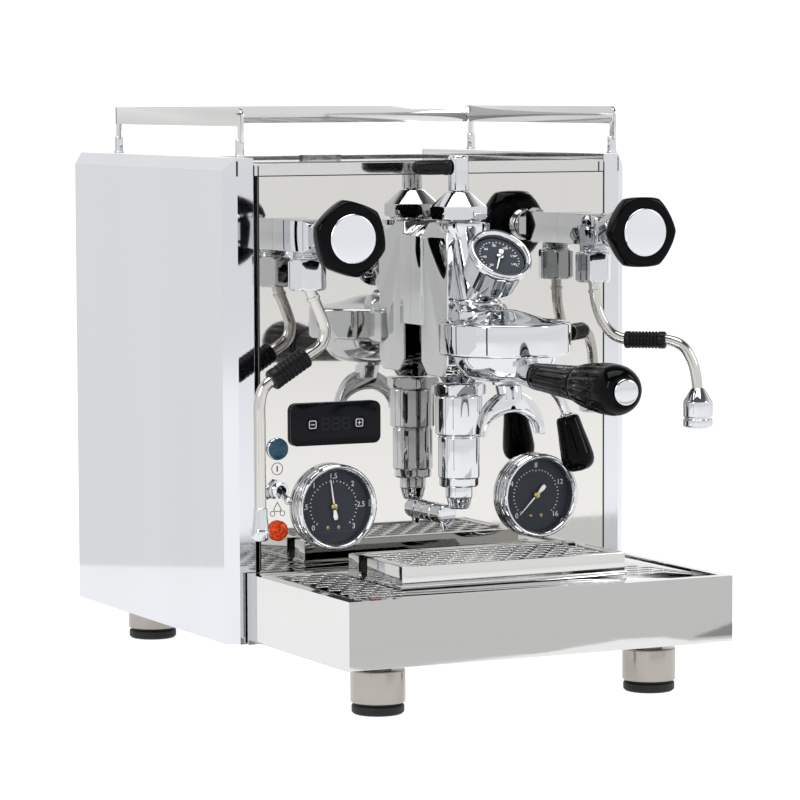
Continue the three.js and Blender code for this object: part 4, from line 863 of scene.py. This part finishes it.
piece("flow_paddle_grip", handle, "flow_control", ["flow_paddle"])

nut = lathe([(0, 194.6), (16.6, 194.6), (18.6, 195.8), (18.6, 201.2), (16.8, 202.4), (0, 202.4)], 72,
            (6, 32.6), 0.2, 0.3)
barrel = lathe([(0, 139), (13, 139), (13.8, 140), (13.8, 166.4), (13.2, 167), (13.2, 167.6), (14.2, 168),
                (15.6, 169), (15.6, 193.4), (15, 194.8), (0, 194.8)], 96, round_by=0.35)
lower_nut = lathe([(0, 133.4), (12, 133.4), (13.2, 134.6), (13.2, 139), (12.6, 140.2), (0, 140.2)], 72,
                  (6, 24.6), 0.3, 0.3)


def nozzle_flutes(angle, height):
    """Ten shallow flutes near the nozzle's tip."""
    return 1 - 0.07 * (0.5 - 0.5 * math.cos(10 * angle)) if height < 126 else 1


nozzle = lathe([(0, 126), (3.2, 126), (3.2, 118.4), (6.4, 118.4), (7.4, 121), (8.6, 125.9), (9, 126.6),
                (9, 134), (0, 134)], 80, round_by=0.3, flute=nozzle_flutes)
chamber = shifted([(bm, CHROME) for bm in (nut, barrel, lower_nut, nozzle)], 0, COLUMN_Y, 0)
piece("infusion_cylinder", chamber, "housing", ["infusion_chamber"])

LEVER_PATH = [(22, -38, 213), (34, -38.1, 212.2), (48, -38.4, 208.8), (62, -39, 202), (71.6, -39.6, 194),
              (77, -40.1, 186.6), (80.4, -40.7, 178.6)]
BULB_TOP = Vector((80.6, -40.8, 178))
BULB_AXIS = Vector((0.194, -0.168, -0.966)).normalized()
hub = lathe([(0, 0), (8.4, 0), (8.4, 3), (7.4, 4), (7.4, 9.4), (6.4, 11.4), (0, 11.4)], 56, round_by=0.5)
hub = aimed(hub, (17.6, COLUMN_Y, 213), (1, 0, 0))
tang = rod(BULB_TOP - BULB_AXIS * 3, BULB_TOP + BULB_AXIS * 12, 2.9)
ferrule = aimed(lathe([(0, -1.2), (4.4, -1.2), (5, 0.4), (0, 0.4)], 40, round_by=0.3), BULB_TOP, BULB_AXIS)
piece("brew_lever_rod", [(bm, CHROME) for bm in (hub, tube(LEVER_PATH, 3.1), tang, ferrule)], "lever",
      ["brew_lever"])
bulb = lathe([(3.0, 13), (3.0, 0.6), (6.2, 0.6), (7.3, 1.3), (8, 3), (8.6, 8), (9.2, 13), (10.1, 19),
              (10.8, 25), (11.2, 29), (11, 32), (10.2, 34.8), (8.4, 37), (5.6, 38.4), (0, 39)], 72,
             round_by=1.4)
piece("lever_bulb", [(aimed(bulb, BULB_TOP, BULB_AXIS), GLOSS_BLACK)], "lever", ["lever_grip"])

# --------------------------------------------------------------- portafilter
HANDLE_Z = 214.4
bowl = lathe([(0, 208.6), (14, 208.6), (21, 209.8), (27, 212.6), (31, 217.2), (33, 222), (33.6, 226),
              (33.6, 235.4), (0, 235.4)], 112, round_by=1.2)
lug_block = block(-36.2, 36.2, -9.6, 9.6, 229.8, 234.4, 0.3)
COLLAR = ((-26, 0.4, 7), (-27, 0.4, 7), (-43.8, 0, 8.8), (-45.3, 0, 8.8))  # y, rise and radius
collar = hull([(x, y, z + HANDLE_Z + rise) for y, rise, radius in COLLAR
               for x, z in circle(radius, sides=48)], 0)
shaft = rod((0, -45, HANDLE_Z), (0, -71, HANDLE_Z - 0.6), 4, sides=24)
outlet = rod((0, 0, 206.2), (0, 0, 210), 8.6, 9.6, 40)
well = lathe([(0, 212), (16, 212.4), (25, 214.8), (28.6, 219), (31, 226), (31, 237), (0, 237)], 96)
drain = rod((0, 0, 204), (0, 0, 214), 3.4, sides=24)
body = combined(bowl, [lug_block, collar, shaft, outlet], [well, drain])
piece("portafilter_bowl", moved(body, 0, BELL_Y, 0), "portafilter", ["portafilter_body"])


def arch(a, b, z, steps=40):
    """Half an ellipse, standing on a height."""
    return [(a * math.cos(math.pi * i / steps), z + b * math.sin(math.pi * i / steps))
            for i in range(steps + 1)]


def upright(outline, half, bevel):
    """A prism of an outline drawn in x and z, half its depth to the front and half to the back."""
    return changed(prism(outline, -half, half, bevel), Matrix.Rotation(math.pi / 2, 4, "X"))


blade = upright(arch(23.6, 28.6, 173.6) + arch(20.4, 16, 173.6)[::-1], 4.6, 0.5)
hollow = upright(arch(22, 26.8, 172.4) + [(-22, 170), (22, 170)], 3.2, 0)
lips = [tube([(x, side, z) for x, z in arch(20.8, 15.6, 174.4, 18)], 1.25) for side in (-4.2, 4.2)]
stem = hull(disc(8, 197, sides=56) + disc(8, 198, sides=56) + disc(8.6, 205.9, 3, sides=56), 0)
bore = rod((0, -2.4, 190), (0, 3.8, 208), 3.2, sides=24)
spout = combined(combined(blade, [], [hollow]), [stem], [bore])
piece("double_spout", shifted([(bm, CHROME) for bm in (spout, *lips)], 0, BELL_Y - 7, 0), "portafilter",
      ["portafilter_spout"])


def handle_flutes(angle, height):
    """Long flutes: faint along the slim part, deep round the swelling at the end."""
    if 4 < height < 56:
        depth = 0.05 * min(1, (height - 4) / 5, (56 - height) / 5)
    elif 62 < height < 98:
        depth = 0.085 * min(1, (height - 62) / 5, (98 - height) / 7)
    else:
        return 1
    return 1 - depth * abs(math.sin(9 * angle)) ** 1.6


black = [(4.5, 28), (4.5, 0.4), (7.8, 0.4), (8.7, 1.3)]
black += [(8.9 + 2.5 * k / 12, 2 + 53 * k / 12) for k in range(13)]
black += [(11.3, 56.2), (11.3, 59.4), (12.7, 60.4), (13.1, 61.6), (13.6, 64), (14.2, 68), (14.8, 72.5),
          (15.3, 77), (15.8, 82), (16.1, 88), (16.2, 94), (16.1, 99), (15.8, 102.2), (15.1, 105.2),
          (14, 108), (12.5, 110.4), (10.7, 112), (9.2, 112.5), (8.6, 112.2), (0, 112.2)]
handle = lathe(black, 216, flute=handle_flutes)
ring = lathe([(10.8, 56), (11.8, 56.1), (12.2, 56.7), (12.2, 58.3), (11.8, 58.9), (10.8, 59)], 96,
             round_by=0.25, closed=True)
cap = lathe([(0, 112), (8.1, 112), (8.4, 112.8), (8.2, 113.6), (7.2, 114.3), (4, 114.7), (0, 114.8)], 72,
            round_by=0.3)
place = (Matrix.Translation((0, BELL_Y - 45.7, HANDLE_Z)) @ Matrix.Rotation(math.radians(0.9), 4, "X")
         @ Matrix.Rotation(math.pi / 2, 4, "X"))
parts = [(changed(bm, place), m) for bm, m in ((handle, GLOSS_BLACK), (ring, GLOSS_BLACK), (cap, CHROME))]
piece("portafilter_grip", parts, "portafilter", ["portafilter_handle"], 40)

# ---------------------------------------------------------------- lower front
SPOUT_X = -4.5
# Dark lines where the front panel meets its sides, and strips that close the side panels' top slits.
seams = [(block(x - 0.45, x + 0.45, PANEL_FRONT - 0.3, PANEL_FRONT - 0.02, 80.5, 348, 0), RUBBER)
         for x in (-130.1, 130.1)]
closures = [(block(*sorted((x, x + math.copysign(0.6, x))), 1.8, 277.2, 345, 351.7, 0), MIRROR)
            for x in (-132.05, 132.05)]
piece("top_edge_closures", closures, "housing", ())
piece("panel_seams", seams, "housing", ())
# A dark sheet inside the tray, which shows through the grille: painted shade for the tray's dark inside.
inside = rounded_box(-137.4, 137.4, -157.4, -5.9, 1)
painted_shade_floor = plate(inside, [], 37.6, 38.2, 0.1)
painted_shade_walls = plate(inside, [rounded_box(-136.8, 136.8, -156.8, -6.5, 1)], 38.2, 72.8, 0.1)
piece("drip_tray_painted_shade", [(painted_shade_floor, PAINTED_SHADE_STEEL), (painted_shade_walls, PAINTED_SHADE_STEEL)], "tray", ())
nose = lathe([(0, -12), (4.9, -12), (4.9, 0.3), (6.7, 0.3), (6.7, 10.8), (6.0, 11.3), (6.0, 11.9),
              (6.7, 12.4), (6.7, 25.4), (5.9, 26.6), (0, 26.6)], 64, round_by=0.35)
tip = rod((SPOUT_X, PANEL_FRONT - 21, 103.4), (SPOUT_X, PANEL_FRONT - 21, 112), 2.4, 4, 40)
bore = rod((SPOUT_X, PANEL_FRONT - 21, 100), (SPOUT_X, PANEL_FRONT - 21, 108), 1.4, sides=24)
spout = combined(to_front(nose, SPOUT_X, PANEL_FRONT, 113.6), [tip], [bore])
piece("drain_nose", spout, "housing", ["drain_spout"])


def slots(x0, x1, y0, y1, columns, rows, length, width):
    """Rows of round-ended slots, staggered like bricks."""
    made = []
    for j in range(rows):
        y = y0 + (j + 0.5) * (y1 - y0) / rows
        shift = -0.25 if j % 2 == 0 else 0.25
        for i in range(columns):
            x = x0 + (i + 0.5 + shift) * (x1 - x0) / columns
            made.append(rounded_box(x - length / 2, x + length / 2, y - width / 2, y + width / 2,
                                    width * 0.42, 4))
    return made


GRILLE_TOP = 78.0
GRILLE_X, GRILLE_Y0, GRILLE_Y1 = 132.3, -152.3, -9.0
SKIRT = 1.4
rim = rounded_box(-GRILLE_X, GRILLE_X, GRILLE_Y0, GRILLE_Y1, 1.2)
rim_inside = rounded_box(-GRILLE_X + SKIRT, GRILLE_X - SKIRT, GRILLE_Y0 + SKIRT, GRILLE_Y1 - SKIRT, 0.8)
# A field of slots at the left, a small one at the right, and long ones hidden under the stage.
holes = slots(-124, -86, -142, -20, 3, 13, 9, 5) + slots(84, 116, -124, -76, 3, 5, 9, 4.6)
holes += slots(-70, 70, -108, -46, 3, 3, 26, 8)
top = plate(rim, holes, GRILLE_TOP - SKIRT, GRILLE_TOP, 0.2)
skirt = plate(rim, [rim_inside], GRILLE_TOP - 5, GRILLE_TOP - 1.2, 0.1)
parts = [(top, TRAY_STEEL), (skirt, TRAY_STEEL)]
for x in (-120, 120):
    for y in (-140, -20):
        parts.append((moved(pin(3.4, 0, 38.6, 28, 0.4), x, y, 38.4), RUBBER))
piece("tray_grille_plate", parts, "grille", ["tray_grille"])

STAGE_X, STAGE_Y0, STAGE_Y1 = 82.0, -118.0, -38.0
STAGE_LOW, STAGE_TOP = GRILLE_TOP + 0.3, 93.0
NOTCH_Y, NOTCH_Z, NOTCH_R, NOTCH_HALF = -60, 84, 6.5, 9


def stage_plan(side, front, back, radius):
    """The stage's outline, drawn in by so much at its sides, front and back."""
    return rounded_box(-STAGE_X + side, STAGE_X - side, STAGE_Y0 + front, STAGE_Y1 - back, radius)


def notches(low):
    """The straight part of the two finger notches, from a height up."""
    return [block(x - NOTCH_HALF, x + NOTCH_HALF, NOTCH_Y - NOTCH_R, NOTCH_Y + NOTCH_R, low, STAGE_TOP + 4, 0)
            for x in (-STAGE_X, STAGE_X)]


outer = block(-STAGE_X, STAGE_X, STAGE_Y0, STAGE_Y1, STAGE_LOW, STAGE_TOP, 0.4, 3)
plinth = block(-STAGE_X - 0.6, STAGE_X + 0.6, STAGE_Y0 - 1.6, STAGE_Y1, STAGE_LOW, STAGE_LOW + 2.4, 0.3)
cuts = [block(-STAGE_X + 1.5, STAGE_X - 1.5, STAGE_Y0 + 1.5, STAGE_Y1 - 1.5, STAGE_LOW - 4, STAGE_TOP + 4, 0)]
for x, straight in zip((-STAGE_X, STAGE_X), notches(NOTCH_Z)):
    cuts.append(rod((x - NOTCH_HALF, NOTCH_Y, NOTCH_Z), (x + NOTCH_HALF, NOTCH_Y, NOTCH_Z),
                    NOTCH_R, sides=40))
    cuts.append(straight)
wall = combined(outer, [plinth], cuts)
mesh_top = plate(stage_plan(1.6, 1.6, 1.6, 0.6), slots(-72, 72, STAGE_Y0 + 5, STAGE_Y1 - 7, 10, 7, 11.4, 6.8),
                 STAGE_TOP - 3, STAGE_TOP - 1.2, 0.2)
rim = plate(stage_plan(1.5, 1.5, 1.5, 0.6), [stage_plan(8, 3.4, 6, 0.8)],
            STAGE_TOP - 1.4, STAGE_TOP - 0.1, 0.15)
parts = [(bm, TRAY_STEEL)
         for bm in (wall, combined(mesh_top, [], notches(80)), combined(rim, [], notches(80)))]
# A dark plate low inside the stage, seen through its slots: painted shade under the stage's top.
shade = block(-STAGE_X + 2, STAGE_X - 2, STAGE_Y0 + 2, STAGE_Y1 - 2, STAGE_LOW + 0.1, STAGE_LOW + 0.7, 0)
piece("cup_stage_painted_shade", [(shade, PAINTED_SHADE_STEEL)], "stage", ())
piece("cup_stage_sheet", parts, "stage", ["cup_stage"])

# ------------------------------------------------------------ studio and floor
WHITE = (1, 1, 1, 1)


def studio(name, bm, material, seen=True):
    """A floor or a card: part of the studio, not of the machine. A card shows only in reflections."""
    mesh = to_mesh(name, bm)
    mesh.materials.append(material)
    o = linked(name, mesh)
    if not seen:
        o.visible_camera = False
        o.visible_diffuse = False
        o.visible_shadow = False


white = surface("floor_white", "a8a8a8", 0.7, 0, 0.05, 40, EVEN, 0.004, patch=1.0,
                Emission_Color=WHITE, Emission_Strength=0.92, Specular_IOR_Level=0.0)
ground = bmesh.new()
bmesh.ops.create_grid(ground, x_segments=8, y_segments=8, size=20)
studio("floor", ground, white)

# The light from all round: bright below and round the horizon, dim overhead.
world = bpy.data.worlds.new("studio")
scene.world = world
world.use_nodes = True
wt = world.node_tree
sky = wt.nodes["Background"]
sky.inputs["Strength"].default_value = 1.0
direction = wt.nodes.new("ShaderNodeTexCoord")
split = wt.nodes.new("ShaderNodeSeparateXYZ")
wt.links.new(direction.outputs["Generated"], split.inputs["Vector"])
heights = wt.nodes.new("ShaderNodeValToRGB")
heights.color_ramp.interpolation = "EASE"
BRIGHT, DIM = 1.16, 0.12
stops = heights.color_ramp.elements
stops[0].position = 0.0
stops[0].color = (BRIGHT, BRIGHT, BRIGHT, 1)
stops[1].position = 1.0
stops[1].color = (DIM, DIM, 0.13, 1)
for position, value in ((0.42, BRIGHT), (0.6, 0.5), (0.72, 0.14)):
    stop = stops.new(position)
    stop.color = (value, value, value * 1.01, 1)
wt.links.new(split.outputs["Z"], heights.inputs["Fac"])
wt.links.new(heights.outputs["Color"], sky.inputs["Color"])


def softbox(name, place, look_at, width, height, power):
    """A soft rectangular light that faces a point."""
    light = bpy.data.lights.new(name, "AREA")
    light.shape = "RECTANGLE"
    light.size = width
    light.size_y = height
    light.energy = power
    o = linked(name, light)
    o.location = place
    o.rotation_euler = (Vector(look_at) - Vector(place)).to_track_quat("-Z", "Y").to_euler()
    o.visible_camera = False


softbox("top_light", (-0.2, -0.3, 2.4), (0, 0, 0.2), 2.2, 1.5, 42)
softbox("left_light", (-2.3, -1.3, 1.5), (0, 0, 0.25), 0.5, 1.4, 22)
softbox("right_light", (2.2, -1.9, 1.6), (0, 0, 0.25), 0.4, 1.2, 14)

FLAG_BLACK = surface("flag_black", "050506", 0.9, 0, 0.05, 60, EVEN, 0.1, Specular_IOR_Level=0.0)


def flag(name, azimuth, distance, low, high, width):
    """A black card that only shows in reflections, to give the chrome its contrast."""
    a = math.radians(azimuth)
    place = (distance * math.sin(a), -distance * math.cos(a), (low + high) / 2)
    bm = bmesh.new()
    bmesh.ops.create_grid(bm, x_segments=1, y_segments=1, size=0.5)
    changed(bm, Matrix.Translation(place) @ Matrix.Rotation(a, 4, "Z")
            @ Matrix.Rotation(math.pi / 2, 4, "X") @ Matrix.Diagonal((width, high - low, 1, 1)))
    studio(name, bm, FLAG_BLACK, False)


for number, (azimuth, distance, low, high, width) in enumerate((
        (-53, 0.9, 0.0, 1.1, 0.036), (-112, 0.7, 0.0, 0.8, 0.03), (-126, 0.75, 0.0, 0.8, 0.045),
        (112, 1.5, 0.0, 0.9, 0.14), (136, 1.9, 0.0, 1.0, 0.2))):
    flag(f"flag_{number}", azimuth, distance, low, high, width)


def card(name, code, glow, points):
    """A glowing grey card, seen only in reflections, for the soft tones of the flat steel."""
    shade = surface(name, code, 0.8, 0, 0.05, 30, EVEN, 0.01, Emission_Color=WHITE,
                    Emission_Strength=glow, Specular_IOR_Level=0.0)
    bm = bmesh.new()
    bm.faces.new([bm.verts.new(c) for c in points])
    studio(name, bm, shade, False)


GREY_OUTLINE = ((-0.048, -0.354), (0.103, -0.374), (0.15, -0.392), (0.176, -0.402), (0.211, -0.3985),
                (0.221, -0.374), (0.36, -0.37), (0.75, -0.78), (0.1, -0.78), (-0.1, -0.6))
DARK_OUTLINE = ((0.222, -0.376), (0.2675, -0.369), (0.34, -0.375), (0.42, -0.52), (0.342, -0.475),
                (0.318, -0.452), (0.269, -0.412))
card("grey_table", "505050", 0.76, [(x, y, 0.002) for x, y in GREY_OUTLINE])
card("dark_table", "303030", 0.36, [(x, y, 0.004) for x, y in DARK_OUTLINE])
card("left_wall", "505050", 0.97, [(-2.0, -0.507, 0.0), (-0.05, 0.842, 0.0), (-0.05, 0.842, 1.3),
                                   (-2.0, -0.507, 1.3)])
scene.view_settings.view_transform = "Standard"
scene.view_settings.look = "None"
